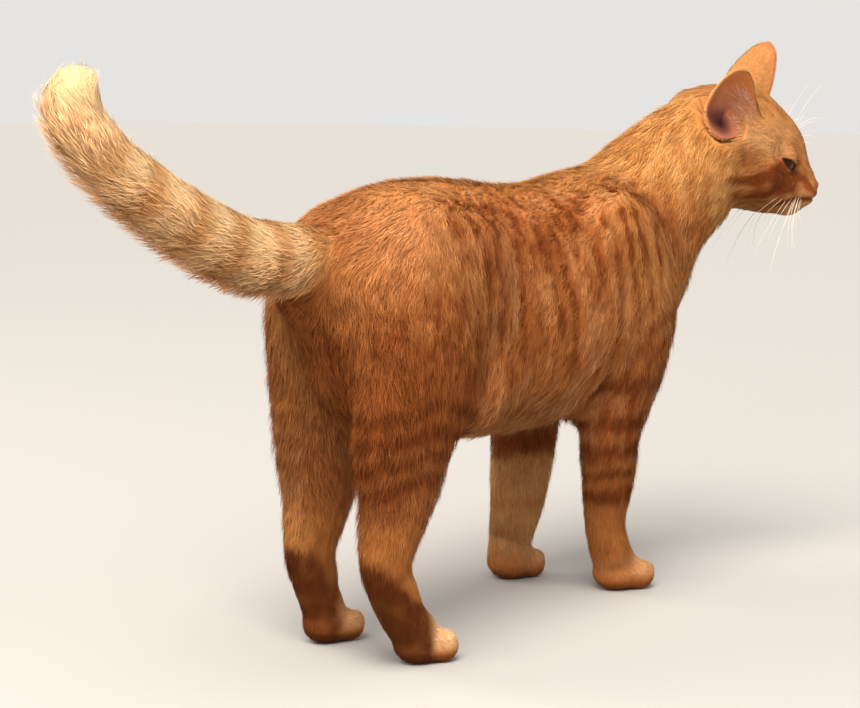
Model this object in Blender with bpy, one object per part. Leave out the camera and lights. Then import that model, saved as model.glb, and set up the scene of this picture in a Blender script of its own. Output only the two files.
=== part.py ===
"""A standing short-haired cat at life size, parted into its named pieces.

The cat faces +X, its left side is +Y, and the floor is z = 0. Trunk, neck,
tail, legs and head are lofts through a few named stations, with rounded
masses for cheeks, brows, pads and toes. They are melted into one body by a
voxel remesh, thinned to a light mesh, and parted by thin cuts where a person
would name the parts. Ears, eyes and nose leather are made on their own and
set against the head with a small gap.
All sizes are in metres and include the coat, out to the tips of the hair.
"""

import math

import bmesh
import bpy
import numpy as np
from mathutils import Matrix, Vector

# ---------------------------------------------------------------- sizes
GAP = 0.0004            # air between neighbouring solids
THINNED_TO = 0.0236     # share of the melted body's faces that is kept
KEEP_FACE = 0.06        # how strongly the thinning spares face and paws
COARSE_VOXEL, COARSE_ROUNDS = 0.0040, 60      # bulk of the body
FINE_VOXEL, FINE_ROUNDS = 0.0022, 8           # the whole, with head and paws
LEFT, RIGHT = 1, -1
SIDE_NAME = {LEFT: "left", RIGHT: "right"}

# Trunk stations from rump to breast: x, back height, belly height, half width
TRUNK = (
    (-0.180, 0.246, 0.190, 0.024),
    (-0.160, 0.259, 0.150, 0.043),
    (-0.128, 0.2730, 0.128, 0.054),
    (-0.090, 0.2775, 0.120, 0.057),
    (-0.045, 0.2760, 0.115, 0.057),
    (0.000, 0.2705, 0.112, 0.060),
    (0.045, 0.2695, 0.112, 0.062),
    (0.085, 0.2755, 0.115, 0.061),
    (0.120, 0.2785, 0.124, 0.056),
    (0.148, 0.2740, 0.142, 0.047),
    (0.168, 0.2480, 0.168, 0.030),
)

# Neck stations from withers to poll: centre, half width, half depth
NECK = (
    ((0.100, 0.000, 0.218), 0.050, 0.054),
    ((0.135, -0.004, 0.228), 0.050, 0.051),
    ((0.166, -0.013, 0.250), 0.047, 0.050),
    ((0.193, -0.025, 0.272), 0.043, 0.047),
    ((0.213, -0.035, 0.288), 0.039, 0.043),
)

# Tail stations from the croup to the tip: centre, half thickness
TAIL = (
    ((-0.145, 0.000, 0.229), 0.023),
    ((-0.172, -0.001, 0.2320), 0.0215),
    ((-0.192, -0.004, 0.2345), 0.0208),
    ((-0.223, -0.008, 0.2385), 0.0205),
    ((-0.255, -0.012, 0.2440), 0.0198),
    ((-0.298, -0.019, 0.2605), 0.0182),
    ((-0.336, -0.024, 0.2780), 0.0168),
    ((-0.366, -0.028, 0.2945), 0.0158),
    ((-0.388, -0.031, 0.3120), 0.0148),
    ((-0.397, -0.033, 0.3245), 0.0135),
    ((-0.388, -0.032, 0.3325), 0.0122),
)

# The head has its own frame: x to the nose, y to its left, z up
HEAD_AT = Vector((0.237, -0.045, 0.281))
HEAD_YAW, HEAD_PITCH = -39.0, 12.0            # degrees to its right, and down
# Head stations from poll to nose: x, height of the widest place, half width,
# reach up and reach down from there
HEAD = (
    (-0.048, 0.004, 0.030, 0.031, 0.034),
    (-0.034, 0.003, 0.0365, 0.0375, 0.0390),
    (-0.015, 0.000, 0.0385, 0.0445, 0.0390),
    (0.003, -0.003, 0.0365, 0.0470, 0.0365),
    (0.017, -0.006, 0.0300, 0.0430, 0.0330),
    (0.029, -0.009, 0.0225, 0.0385, 0.0290),
    (0.039, -0.012, 0.0160, 0.0325, 0.0240),
    (0.0460, -0.0140, 0.0125, 0.0205, 0.0195),
    (0.0525, -0.0145, 0.0100, 0.0120, 0.0130),
)
FACE_MIDDLE = Vector((0.030, 0.0, -0.005))
EYE_AT = Vector((0.0215, 0.0165, 0.0000))
EYE_RADIUS = 0.0100
NOSE_AT = Vector((0.0560, 0.0, -0.0125))
NOSE_RADII = (0.0036, 0.0062, 0.0046)

# Ears in the head's frame: middle of the base, tip, way that the cup faces.
# The right one is turned out and back to listen.
EARS = {
    LEFT: (Vector((-0.009, 0.0215, 0.008)), Vector((0.016, 0.034, 0.0795)),
           Vector((0.64, 0.77, 0.0))),
    RIGHT: (Vector((-0.0145, -0.0155, -0.008)), Vector((-0.0370, -0.0520, 0.0510)),
            Vector((-0.25, -0.95, 0.0))),
}
EAR_HALF_WIDTH = 0.0215
EAR_CUP = 0.0150        # how deep the cup is at its base
EAR_WALL = 0.0022

# Joints of each leg from the top: centre, half width, half size fore and aft
HIND = {
    RIGHT: (
        ((-0.116, -0.028, 0.236), 0.028, 0.044),
        ((-0.124, -0.039, 0.203), 0.029, 0.052),
        ((-0.135, -0.042, 0.163), 0.0270, 0.0465),
        ((-0.145, -0.039, 0.128), 0.0240, 0.0390),
        ((-0.1475, -0.038, 0.106), 0.0210, 0.0335),
        ((-0.153, -0.037, 0.085), 0.0175, 0.0250),
        ((-0.1595, -0.037, 0.066), 0.0152, 0.0180),
        ((-0.1540, -0.037, 0.048), 0.0143, 0.0158),
        ((-0.1445, -0.037, 0.032), 0.0143, 0.0145),
        ((-0.1335, -0.037, 0.019), 0.0145, 0.0130),
    ),
    LEFT: (
        ((-0.114, 0.028, 0.236), 0.028, 0.044),
        ((-0.118, 0.038, 0.203), 0.027, 0.049),
        ((-0.120, 0.040, 0.163), 0.0250, 0.0420),
        ((-0.1235, 0.038, 0.125), 0.0230, 0.0365),
        ((-0.1245, 0.037, 0.100), 0.0210, 0.0315),
        ((-0.130, 0.036, 0.080), 0.0178, 0.0250),
        ((-0.1365, 0.036, 0.062), 0.0155, 0.0182),
        ((-0.1335, 0.036, 0.045), 0.0145, 0.0158),
        ((-0.129, 0.036, 0.031), 0.0138, 0.0138),
        ((-0.122, 0.036, 0.018), 0.0142, 0.0125),
    ),
}
FORE = {
    RIGHT: (
        ((0.092, -0.030, 0.236), 0.024, 0.040),
        ((0.101, -0.042, 0.195), 0.0240, 0.043),
        ((0.093, -0.042, 0.152), 0.0225, 0.037),
        ((0.081, -0.037, 0.112), 0.0190, 0.0280),
        ((0.083, -0.034, 0.078), 0.0165, 0.0230),
        ((0.084, -0.031, 0.046), 0.0135, 0.0150),
        ((0.092, -0.031, 0.024), 0.0148, 0.0145),
    ),
    LEFT: (
        ((0.092, 0.030, 0.236), 0.024, 0.040),
        ((0.108, 0.042, 0.195), 0.0240, 0.043),
        ((0.109, 0.044, 0.152), 0.0230, 0.038),
        ((0.103, 0.043, 0.108), 0.0203, 0.0325),
        ((0.098, 0.043, 0.078), 0.0185, 0.0280),
        ((0.0925, 0.043, 0.050), 0.0168, 0.0228),
        ((0.086, 0.044, 0.027), 0.0150, 0.0168),
    ),
}
# Masses that round shoulder, haunch, groin and breast: centre, radii.
# The first three are made on both sides.
PAIRED_MASSES = (
    ((0.082, 0.038, 0.218), (0.058, 0.025, 0.048)),
    ((-0.100, 0.036, 0.214), (0.064, 0.028, 0.052)),
    ((-0.070, 0.037, 0.154), (0.040, 0.021, 0.032)),
)
BREAST = ((0.157, -0.010, 0.212), (0.036, 0.041, 0.052))

# Middle of each paw on the floor, the way that its toes point in degrees,
# its half width and its half length
HIND_PAW = {RIGHT: ((-0.1245, -0.037), -6.0, 0.0155, 0.0200),
            LEFT: ((-0.1180, 0.036), 3.0, 0.0155, 0.0200)}
FORE_PAW = {RIGHT: ((0.1030, -0.031), -8.0, 0.0172, 0.0210),
            LEFT: ((0.0885, 0.044), 2.0, 0.0172, 0.0200)}

# Discs that part the rest: point, normal, radius
HEAD_CUT = (Vector((-0.027, 0.0, -0.002)), Vector((0.88, 0.0, 0.47)), 0.062)
CUTS = (
    ((0.1415, -0.004, 0.2215), (0.86, 0.0, 0.51), 0.085),           # neck
    ((-0.2030, -0.005, 0.2355), (-1.0, -0.15, 0.0), 0.034),         # tail root
    ((-0.2620, -0.0135, 0.2470), (-0.95, -0.14, 0.28), 0.030),
    ((-0.3520, -0.0260, 0.2865), (-0.87, -0.12, 0.49), 0.026),      # tail tip
    ((-0.1590, -0.037, 0.0660), (0.0, 0.0, 1.0), 0.030),            # hocks
    ((-0.1365, 0.036, 0.0620), (0.0, 0.0, 1.0), 0.030),
    ((-0.1420, -0.037, 0.0300), (-0.35, 0.0, 0.94), 0.025),         # ankles
    ((-0.1290, 0.036, 0.0300), (-0.35, 0.0, 0.94), 0.025),
    ((0.0880, -0.031, 0.0340), (-0.25, 0.0, 0.97), 0.026),          # wrists
    ((0.0880, 0.044, 0.0350), (0.0, 0.0, 1.0), 0.026),
)
# A point near the middle of each piece that the discs part
PLACES = {
    "head": tuple(HEAD_AT),
    "neck": (0.175, -0.015, 0.250),
    "trunk": (0.000, 0.000, 0.200),
    "tail_root": (-0.232, -0.009, 0.240),
    "tail_middle": (-0.308, -0.020, 0.266),
    "tail_tip": (-0.380, -0.030, 0.310),
    "forearm_right": (0.083, -0.035, 0.072),
    "forearm_left": (0.098, 0.043, 0.072),
    "fore_paw_right": (0.100, -0.031, 0.016),
    "fore_paw_left": (0.088, 0.044, 0.016),
    "shank_right": (-0.150, -0.038, 0.092),
    "shank_left": (-0.128, 0.037, 0.090),
    "hind_foot_right": (-0.152, -0.037, 0.047),
    "hind_foot_left": (-0.134, 0.036, 0.045),
    "hind_paw_right": (-0.128, -0.037, 0.013),
    "hind_paw_left": (-0.120, 0.036, 0.013),
}

# Cells that part thigh and shoulder from the trunk: middle (x, z), radius
# forward, radius back, radius up and down, lowest z, inner wall
THIGH_CELL = ((-0.128, 0.165), 0.056, 0.082, 0.080, 0.118, 0.008)
SHOULDER_CELL = ((0.100, 0.160), 0.056, 0.056, 0.084, 0.108, 0.014)

# Finish of each piece by how its name starts: name, linear colour, roughness
FINISHES = (
    ("eye", "amber_eye", (0.32, 0.17, 0.03), 0.10),
    ("nose", "bare_skin", (0.45, 0.17, 0.12), 0.45),
    ("tail", "cream_coat", (0.70, 0.36, 0.14), 0.85),
    ("fore_paw", "pale_coat", (0.66, 0.33, 0.15), 0.85),
    ("hind_paw", "pale_coat", (0.66, 0.33, 0.15), 0.85),
    ("hind_foot", "brown_coat", (0.20, 0.07, 0.025), 0.85),
    ("ear", "golden_coat", (0.62, 0.25, 0.08), 0.85),
    ("head", "golden_coat", (0.62, 0.25, 0.08), 0.85),
    ("neck", "golden_coat", (0.62, 0.25, 0.08), 0.85),
    ("", "tawny_coat", (0.43, 0.17, 0.055), 0.85),
)


# ------------------------------------------------------------ mesh tools
def clear_scene():
    for old in list(bpy.data.objects):
        bpy.data.objects.remove(old)


def mesh_object(name, points, faces):
    mesh = bpy.data.meshes.new(name)
    mesh.from_pydata([tuple(p) for p in points], [], faces)
    mesh.update()
    made = bpy.data.objects.new(name, mesh)
    bpy.context.scene.collection.objects.link(made)
    return made


def through(values, fine):
    """A Catmull-Rom curve through rows of values, fine steps to a span."""
    values = np.asarray(values, float)
    padded = np.vstack([2 * values[0] - values[1], values, 2 * values[-1] - values[-2]])
    rows = []
    for i in range(1, len(padded) - 2):
        before, here, after, beyond = padded[i - 1:i + 3]
        for t in np.arange(fine) / fine:
            rows.append(
                0.5 * (2 * here + (after - before) * t
                       + (2 * before - 5 * here + 4 * after - beyond) * t * t
                       + (3 * here - before - 3 * after + beyond) * t ** 3)
            )
    rows.append(padded[-2])
    return np.array(rows)


def loft(stations, across, sides=20, fine=4, dome=0.7, upright=False):
    """A closed tube with domed ends through stations of centre, half width
    along the vector across, and reach up and down square to it. The rings
    lie square to the path, or all upright along x."""
    rows = through([(*c, w, up, down) for c, w, up, down in stations], fine)
    centre, sizes = rows[:, :3], rows[:, 3:]
    along = np.gradient(centre, axis=0)
    if upright:
        along[:] = (1, 0, 0)
    along /= np.linalg.norm(along, axis=1, keepdims=True)
    across = np.asarray(across, float)
    side = across - (along @ across)[:, None] * along
    side /= np.linalg.norm(side, axis=1, keepdims=True)
    rise = np.cross(along, side)
    turns = 2 * math.pi * np.arange(sides) / sides
    rings = []

    def ring(i, shrink, push):
        up = np.where(np.sin(turns) > 0, sizes[i, 1], sizes[i, 2]) * np.sin(turns)
        flat = np.outer(sizes[i, 0] * np.cos(turns), side[i]) + np.outer(up, rise[i])
        rings.append(centre[i] + flat * shrink + along[i] * push)

    caps = np.radians((65, 40, 20))
    last = len(rows) - 1
    for angle in caps:
        ring(0, math.cos(angle), -dome * sizes[0].mean() * math.sin(angle))
    for i in range(len(rows)):
        ring(i, 1.0, 0.0)
    for angle in caps[::-1]:
        ring(last, math.cos(angle), dome * sizes[last].mean() * math.sin(angle))
    ends = (
        centre[0] - along[0] * dome * sizes[0].mean(),
        centre[last] + along[last] * dome * sizes[last].mean(),
    )
    points = np.vstack([*rings, *ends])
    faces = []
    for r in range(len(rings) - 1):
        for k in range(sides):
            a, b = r * sides + k, r * sides + (k + 1) % sides
            faces.append((a, b, b + sides, a + sides))
    first_pole, last_pole = len(points) - 2, len(points) - 1
    top = (len(rings) - 1) * sides
    for k in range(sides):
        n = (k + 1) % sides
        faces.append((n, k, first_pole))
        faces.append((top + k, top + n, last_pole))
    return points, faces


def ball(centre, radii, turn=None, sides=16, rings=10):
    """An ellipsoid of these radii, turned by a matrix about its centre."""
    points = [(0, 0, 1)]
    for r in range(1, rings):
        tilt = math.pi * r / rings
        for k in range(sides):
            spin = 2 * math.pi * k / sides
            points.append((math.sin(tilt) * math.cos(spin),
                           math.sin(tilt) * math.sin(spin), math.cos(tilt)))
    points.append((0, 0, -1))
    points = np.array(points) * radii
    if turn is not None:
        points = points @ np.array(turn.to_3x3()).T
    faces = []
    for k in range(sides):
        n = (k + 1) % sides
        faces.append((0, 1 + k, 1 + n))
        for r in range(rings - 2):
            a, b = 1 + r * sides + k, 1 + r * sides + n
            faces.append((a, a + sides, b + sides, b))
        a, b = 1 + (rings - 2) * sides + k, 1 + (rings - 2) * sides + n
        faces.append((a, len(points) - 1, b))
    return points + np.asarray(centre, float), faces


def prism(outline, near, far):
    """A closed prism of a convex (x, z) outline, from y = near to y = far."""
    count = len(outline)
    low, high = min(near, far), max(near, far)
    points = [(x, low, z) for x, z in outline] + [(x, high, z) for x, z in outline]
    faces = [tuple(range(count)), tuple(range(2 * count - 1, count - 1, -1))]
    for k in range(count):
        n = (k + 1) % count
        faces.append((k, k + count, n + count, n))
    return points, faces


def joined(name, shapes):
    """One object of many (points, faces) shapes, not yet melted together."""
    points, faces, start = [], [], 0
    for shape_points, shape_faces in shapes:
        points.extend(shape_points)
        faces.extend(tuple(i + start for i in face) for face in shape_faces)
        start += len(shape_points)
    return mesh_object(name, points, faces)


def points_of(obj):
    points = np.empty(len(obj.data.vertices) * 3, np.float32)
    obj.data.vertices.foreach_get("co", points)
    return points.reshape(-1, 3).astype(float)


def evaluated(obj):
    """The (points, faces) of an object with its modifiers, as plain data."""
    graph = bpy.context.evaluated_depsgraph_get()
    mesh = obj.evaluated_get(graph).to_mesh()
    points = np.empty(len(mesh.vertices) * 3, np.float32)
    mesh.vertices.foreach_get("co", points)
    faces = [tuple(p.vertices) for p in mesh.polygons]
    return points.reshape(-1, 3).astype(float), faces


def apply_modifiers(obj):
    graph = bpy.context.evaluated_depsgraph_get()
    mesh = bpy.data.meshes.new_from_object(obj.evaluated_get(graph), depsgraph=graph)
    obj.modifiers.clear()
    obj.data = mesh


def outward(obj):
    """Turns every face of a closed mesh to point out."""
    work = bmesh.new()
    work.from_mesh(obj.data)
    bmesh.ops.recalc_face_normals(work, faces=work.faces)
    work.to_mesh(obj.data)
    work.free()
    return obj


def melted(name, shapes, voxel, rounds, weight=None):
    """Shapes fused by a voxel remesh, with their creases smoothed away,
    everywhere alike or by a weight worked out from the points."""
    rough = joined(name + "_rough", shapes)
    remesh = rough.modifiers.new("fuse", "REMESH")
    remesh.mode = "VOXEL"
    remesh.voxel_size = voxel
    apply_modifiers(rough)
    smooth = rough.modifiers.new("relax", "SMOOTH")
    smooth.factor = 0.5
    smooth.iterations = rounds
    if weight is not None:
        group = rough.vertex_groups.new(name="relax")
        for vertex, share in zip(rough.data.vertices, weight(points_of(rough))):
            group.add([vertex.index], float(share), "REPLACE")
        smooth.vertex_group = group.name
    shape = evaluated(rough)
    bpy.data.objects.remove(rough)
    return shape


def boolean(obj, other, operation):
    """Applies an exact Boolean and keeps the tool."""
    cut = obj.modifiers.new("cut", "BOOLEAN")
    cut.operation = operation
    cut.object = other
    cut.solver = "EXACT"
    apply_modifiers(obj)


def copy_of(obj, name):
    made = obj.copy()
    made.data = obj.data.copy()
    made.name = name
    bpy.context.scene.collection.objects.link(made)
    return made


def grown(obj, amount):
    """A copy of a solid, grown along its normals by this amount."""
    made = copy_of(obj, obj.name + "_grown")
    swell = made.modifiers.new("swell", "DISPLACE")
    swell.strength = amount
    swell.mid_level = 0.0
    apply_modifiers(made)
    return made


# ------------------------------------------------------------ body forms
def trunk_form():
    stations = []
    for x, back, belly, half in TRUNK:
        middle = belly + 0.47 * (back - belly)
        stations.append(((x, 0.0, middle), half, back - middle, middle - belly))
    return loft(stations, (0, 1, 0), sides=28, upright=True)


def neck_form():
    return loft([(c, w, d, d) for c, w, d in NECK], (0, 1, 0), sides=24)


def tail_form():
    return loft([(c, r, r, r) for c, r in TAIL], (0, -1, 0), sides=18)


def mass_forms():
    shapes = [ball(*BREAST, sides=24, rings=14)]
    for (x, y, z), radii in PAIRED_MASSES:
        for side in (LEFT, RIGHT):
            shapes.append(ball((x, side * y, z), radii, sides=24, rings=14))
    return shapes


def leg_form(joints):
    return loft([(c, w, d, d) for c, w, d in joints], (0, 1, 0), sides=18)


def paw_forms(paw):
    """A low round pad with four toes fanned across its front."""
    (x, y), heading, half_width, half_length = paw
    turn = Matrix.Rotation(math.radians(heading), 4, "Z")
    place = Matrix.Translation((x, y, 0)) @ turn

    def put(centre, radii, yaw=0.0):
        spin = turn @ Matrix.Rotation(math.radians(yaw), 4, "Z")
        return ball(place @ Vector(centre), radii, spin, 12, 8)

    back = -0.13 * half_length
    shapes = [
        put((back, 0, 0.0115), (half_length * 0.88, half_width * 0.95, 0.0132)),
        put((2.4 * back, 0, 0.0210), (half_length * 0.66, half_width * 0.86, 0.0125)),
    ]
    for finger, reach in ((-1.5, 0.0), (-0.5, 1.0), (0.5, 1.0), (1.5, 0.0)):
        centre = (half_length * (0.36 + 0.16 * reach), finger * half_width * 0.46, 0.0098)
        radii = (half_length * 0.54, half_width * 0.50, 0.0112)
        shapes.append(put(centre, radii, finger * 9.0))
    return shapes


def head_matrix():
    return (
        Matrix.Translation(HEAD_AT)
        @ Matrix.Rotation(math.radians(HEAD_YAW), 4, "Z")
        @ Matrix.Rotation(math.radians(HEAD_PITCH), 4, "Y")
    )


def head_forms():
    """Skull and nose bridge as one loft, with whisker pads, cheeks, jowls,
    brows and chin as ellipsoids, the paired ones on both sides."""
    place = head_matrix()
    points, faces = loft([((x, 0, z), w, up, down) for x, z, w, up, down in HEAD],
                         (0, 1, 0), sides=24, dome=0.4, upright=True)
    points = points @ np.array(place.to_3x3()).T + np.array(place.translation)
    shapes = [(points, faces)]

    def put(centre, radii, pitch=0.0, yaw=0.0):
        turn = place @ Matrix.Rotation(math.radians(yaw), 4, "Z")
        turn = turn @ Matrix.Rotation(math.radians(pitch), 4, "Y")
        shapes.append(ball(place @ Vector(centre), radii, turn, 20, 14))

    put((0.0385, 0, -0.0290), (0.0115, 0.0110, 0.0085), -8)                  # chin
    for side in (LEFT, RIGHT):
        put((0.0435, side * 0.0085, -0.0195), (0.0120, 0.0098, 0.0088))      # pad
        put((0.0210, side * 0.0170, -0.0200), (0.0215, 0.0130, 0.0130), 0, side * -24)
        put((-0.003, side * 0.0255, -0.0130), (0.0255, 0.0165, 0.0200))      # cheek
        put((0.0225, side * 0.0125, 0.0145), (0.0125, 0.0100, 0.0075), 20, side * -30)
    return shapes


def bulk_share(points):
    """How much each point is smoothed: all over the bulk of the body, and
    little along the thin tail and down the legs."""
    above_legs = np.clip((points[:, 2] - 0.100) / 0.060, 0.08, 1.0)
    before_tail = np.clip((points[:, 0] + 0.200) / 0.030, 0.06, 1.0)
    return above_legs * before_tail


def plain_share(points):
    """How much each point may be thinned: least on the face and the paws."""
    from_face = np.linalg.norm(points - np.array(head_matrix() @ FACE_MIDDLE), axis=1)
    from_floor = 0.70 + points[:, 2] / 0.10
    return np.clip(np.minimum(from_face / 0.060, from_floor), 0.50, 1.0)


def whole_body():
    """All of flesh and coat but the ears, fused, thinned and made to stand
    flat: the pads reach a little below the floor and are planed off there."""
    coarse = [trunk_form(), neck_form(), tail_form(), *mass_forms()]
    coarse += [leg_form(joints) for joints in (*HIND.values(), *FORE.values())]
    torso = melted("torso", coarse, COARSE_VOXEL, COARSE_ROUNDS, bulk_share)
    fine = [torso, *head_forms()]
    for paw in (*HIND_PAW.values(), *FORE_PAW.values()):
        fine += paw_forms(paw)
    points, faces = melted("whole", fine, FINE_VOXEL, FINE_ROUNDS)
    whole = mesh_object("whole", points, faces)
    group = whole.vertex_groups.new(name="plain")
    for vertex, share in zip(whole.data.vertices, plain_share(points)):
        group.add([vertex.index], float(share), "REPLACE")
    thin = whole.modifiers.new("thin", "DECIMATE")
    thin.ratio = THINNED_TO
    thin.vertex_group = group.name
    thin.vertex_group_factor = KEEP_FACE
    apply_modifiers(whole)
    return whole


# ---------------------------------------------------------------- parting
def cell_outline(cell, extra):
    """The (x, z) outline of a cell: a rounded top that ends flat below."""
    (x, z), forward, back, tall, lowest, _ = cell
    outline = []
    for k in range(36):
        turn = 2 * math.pi * k / 36
        reach = (forward if math.cos(turn) > 0 else back) + extra
        at = (x + reach * math.cos(turn), z + (tall + extra) * math.sin(turn))
        if at[1] > lowest - extra + 0.004:
            outline.append((turn, at))
    outline.sort(key=lambda entry: (entry[0] + math.pi / 2) % (2 * math.pi))
    points = [at for _, at in outline]
    return [(points[0][0], lowest - extra), *points, (points[-1][0], lowest - extra)]


def take_cell(body, name, side, cell):
    """Parts the cell's share of the body as a new piece, with a gap round it."""
    inner, outer = side * cell[-1], side * 0.12
    keep = outward(mesh_object("keep", *prism(cell_outline(cell, 0.0), inner, outer)))
    drop_shape = prism(cell_outline(cell, GAP), inner - side * GAP, outer)
    drop = outward(mesh_object("drop", *drop_shape))
    piece = copy_of(body, name)
    boolean(piece, keep, "INTERSECT")
    boolean(body, drop, "DIFFERENCE")
    for tool in (keep, drop):
        bpy.data.objects.remove(tool)


def disc(point, normal, radius):
    """A closed disc as thin as the gap, to cut with."""
    turn = Vector(normal).to_track_quat("Z", "Y")
    points = []
    for height in (-GAP / 2, GAP / 2):
        for k in range(24):
            spin = 2 * math.pi * k / 24
            rim = Vector((radius * math.cos(spin), radius * math.sin(spin), height))
            points.append(turn @ rim + Vector(point))
    faces = [tuple(range(23, -1, -1)), tuple(range(24, 48))]
    faces += [(k, (k + 1) % 24, (k + 1) % 24 + 24, k + 24) for k in range(24)]
    return points, faces


def loose_pieces(obj):
    """Splits an object into its separate closed pieces."""
    work = bmesh.new()
    work.from_mesh(obj.data)
    work.verts.ensure_lookup_table()
    seen, groups = set(), []
    for start in work.verts:
        if start.index in seen:
            continue
        group, queue = [], [start]
        seen.add(start.index)
        while queue:
            vertex = queue.pop()
            group.append(vertex.index)
            for edge in vertex.link_edges:
                other = edge.other_vert(vertex)
                if other.index not in seen:
                    seen.add(other.index)
                    queue.append(other)
        groups.append(group)
    pieces = []
    for group in groups:
        place = {old: new for new, old in enumerate(group)}
        points = [work.verts[i].co.copy() for i in group]
        faces = [tuple(place[v.index] for v in face.verts)
                 for face in work.faces if face.verts[0].index in place]
        pieces.append((points, faces))
    work.free()
    return pieces


def part_by_discs(body):
    """Cuts the body with all the discs and names what comes apart."""
    point, normal, radius = HEAD_CUT
    place = head_matrix()
    discs = [disc(place @ point, place.to_3x3() @ normal, radius)]
    discs += [disc(*cut) for cut in CUTS]
    for shape in discs:
        blade = mesh_object("blade", *shape)
        boolean(body, blade, "DIFFERENCE")
        bpy.data.objects.remove(blade)
    found = set()
    for points, faces in loose_pieces(body):
        spread = np.array([tuple(p) for p in points])
        middle = (spread.min(axis=0) + spread.max(axis=0)) / 2
        name = min(PLACES, key=lambda n: np.linalg.norm(middle - PLACES[n]))
        if name in found:
            raise ValueError(f"two pieces are nearest to the place of {name}")
        found.add(name)
        mesh_object(name, points, faces)
    if len(found) != len(PLACES):
        raise ValueError(f"no piece for {set(PLACES) - found}")
    bpy.data.objects.remove(body)


def socket(body, centre, radii, turn=None, sides=16, rings=10):
    """Hollows the body for a ball of these radii, and the gap round it."""
    wide = tuple(r + GAP for r in radii)
    tool = mesh_object("socket", *ball(centre, wide, turn, sides, rings))
    boolean(body, tool, "DIFFERENCE")
    bpy.data.objects.remove(tool)


def plane_soles(body):
    """Planes the pads off at the floor, so that every sole is flat."""
    below = [(-0.5, -0.1), (0.5, -0.1), (0.5, 0.0), (-0.5, 0.0)]
    tool = outward(mesh_object("below", *prism(below, -0.3, 0.3)))
    boolean(body, tool, "DIFFERENCE")
    bpy.data.objects.remove(tool)


# ------------------------------------------------------------ head pieces
def ear(side, head_and_neck):
    """A cupped leaf: its rims lie in one plane with the axis, and its back
    bulges away from the way that it faces. It is cut to fit the head."""
    place = head_matrix()
    base, tip, faces_to = EARS[side]
    axis = tip - base
    face = (faces_to - faces_to.dot(axis.normalized()) * axis.normalized()).normalized()
    across = axis.normalized().cross(face)
    rows, columns = 8, 7
    points = []
    for i in range(rows):
        t = i / (rows - 1) * 0.985
        half = EAR_HALF_WIDTH * (1 - t ** 2.2) ** 0.62
        cup = EAR_CUP * (1 - t) ** 0.9 + 0.0004
        curl = math.radians(95 - 60 * t)
        for j in range(columns + 1):
            u = (2 * j / columns - 1) * curl
            sideways = half * math.sin(u) / math.sin(min(curl, math.pi / 2))
            behind = cup * (math.cos(u) - math.cos(curl)) / (1 - math.cos(curl))
            points.append(place @ (base + axis * t + across * sideways - face * behind))
    faces = []
    for i in range(rows - 1):
        for j in range(columns):
            a = i * (columns + 1) + j
            faces.append((a, a + 1, a + columns + 2, a + columns + 1))
    leaf = mesh_object("ear_" + SIDE_NAME[side], points, faces)
    wall = leaf.modifiers.new("wall", "SOLIDIFY")
    wall.thickness = EAR_WALL
    wall.offset = 0.0
    apply_modifiers(leaf)
    outward(leaf)
    boolean(leaf, head_and_neck, "DIFFERENCE")
    return leaf


def eye(side):
    centre = head_matrix() @ Vector((EYE_AT.x, side * EYE_AT.y, EYE_AT.z))
    shape = ball(centre, (EYE_RADIUS,) * 3, sides=16, rings=10)
    return mesh_object("eye_" + SIDE_NAME[side], *shape)


# ------------------------------------------------------ finish and place
def material(name, colour, roughness):
    made = bpy.data.materials.get(name) or bpy.data.materials.new(name)
    made.use_nodes = True
    shader = made.node_tree.nodes["Principled BSDF"]
    shader.inputs["Base Color"].default_value = (*colour, 1.0)
    shader.inputs["Roughness"].default_value = roughness
    shader.inputs["Metallic"].default_value = 0.0
    return made


def finish():
    """Gives every piece the main colour of its coat, and shades it smooth."""
    for obj in bpy.context.scene.objects:
        for start, finish_name, colour, roughness in FINISHES:
            if obj.name.startswith(start):
                break
        obj.data.materials.clear()
        obj.data.materials.append(material(finish_name, colour, roughness))
        obj.data.shade_smooth()
        obj.data.set_sharp_from_angle(angle=math.radians(40))


def stand_on_origin():
    """Puts the origin under the middle of the whole, on the floor."""
    everything = np.vstack([points_of(obj) for obj in bpy.context.scene.objects])
    middle = (everything.min(axis=0) + everything.max(axis=0)) / 2
    shift = Matrix.Translation((-middle[0], -middle[1], 0.0))
    for obj in bpy.context.scene.objects:
        obj.data.transform(shift)


# -------------------------------------------------------------- the model
def build():
    clear_scene()
    body = whole_body()
    plane_soles(body)
    swollen = grown(body, GAP)
    for side in (LEFT, RIGHT):
        ear(side, swollen)
    bpy.data.objects.remove(swollen)
    place = head_matrix()
    nose_at = place @ NOSE_AT
    socket(body, nose_at, NOSE_RADII, place, 12, 8)
    mesh_object("nose", *ball(nose_at, NOSE_RADII, place, 12, 8))
    for side in (LEFT, RIGHT):
        centre = place @ Vector((EYE_AT.x, side * EYE_AT.y, EYE_AT.z))
        socket(body, centre, (EYE_RADIUS,) * 3)
        eye(side)
        take_cell(body, "thigh_" + SIDE_NAME[side], side, THIGH_CELL)
        take_cell(body, "upper_arm_" + SIDE_NAME[side], side, SHOULDER_CELL)
    part_by_discs(body)
    finish()
    stand_on_origin()


build()
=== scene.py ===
# %% [markdown]
# # A standing tabby cat at life size
# The solids of this cat already hold its pose and its outline, out to the tips
# of the hair. What is missing is everything that makes it an animal: one skin
# with no joints in it, a coat of hair that lies the way a cat's does, its
# markings, eyes half closed in the sun, ears, nose leather and whiskers.
# The first cell loads the solids, which stay where they are.

# %% Load the solids
import math
from types import SimpleNamespace

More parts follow.
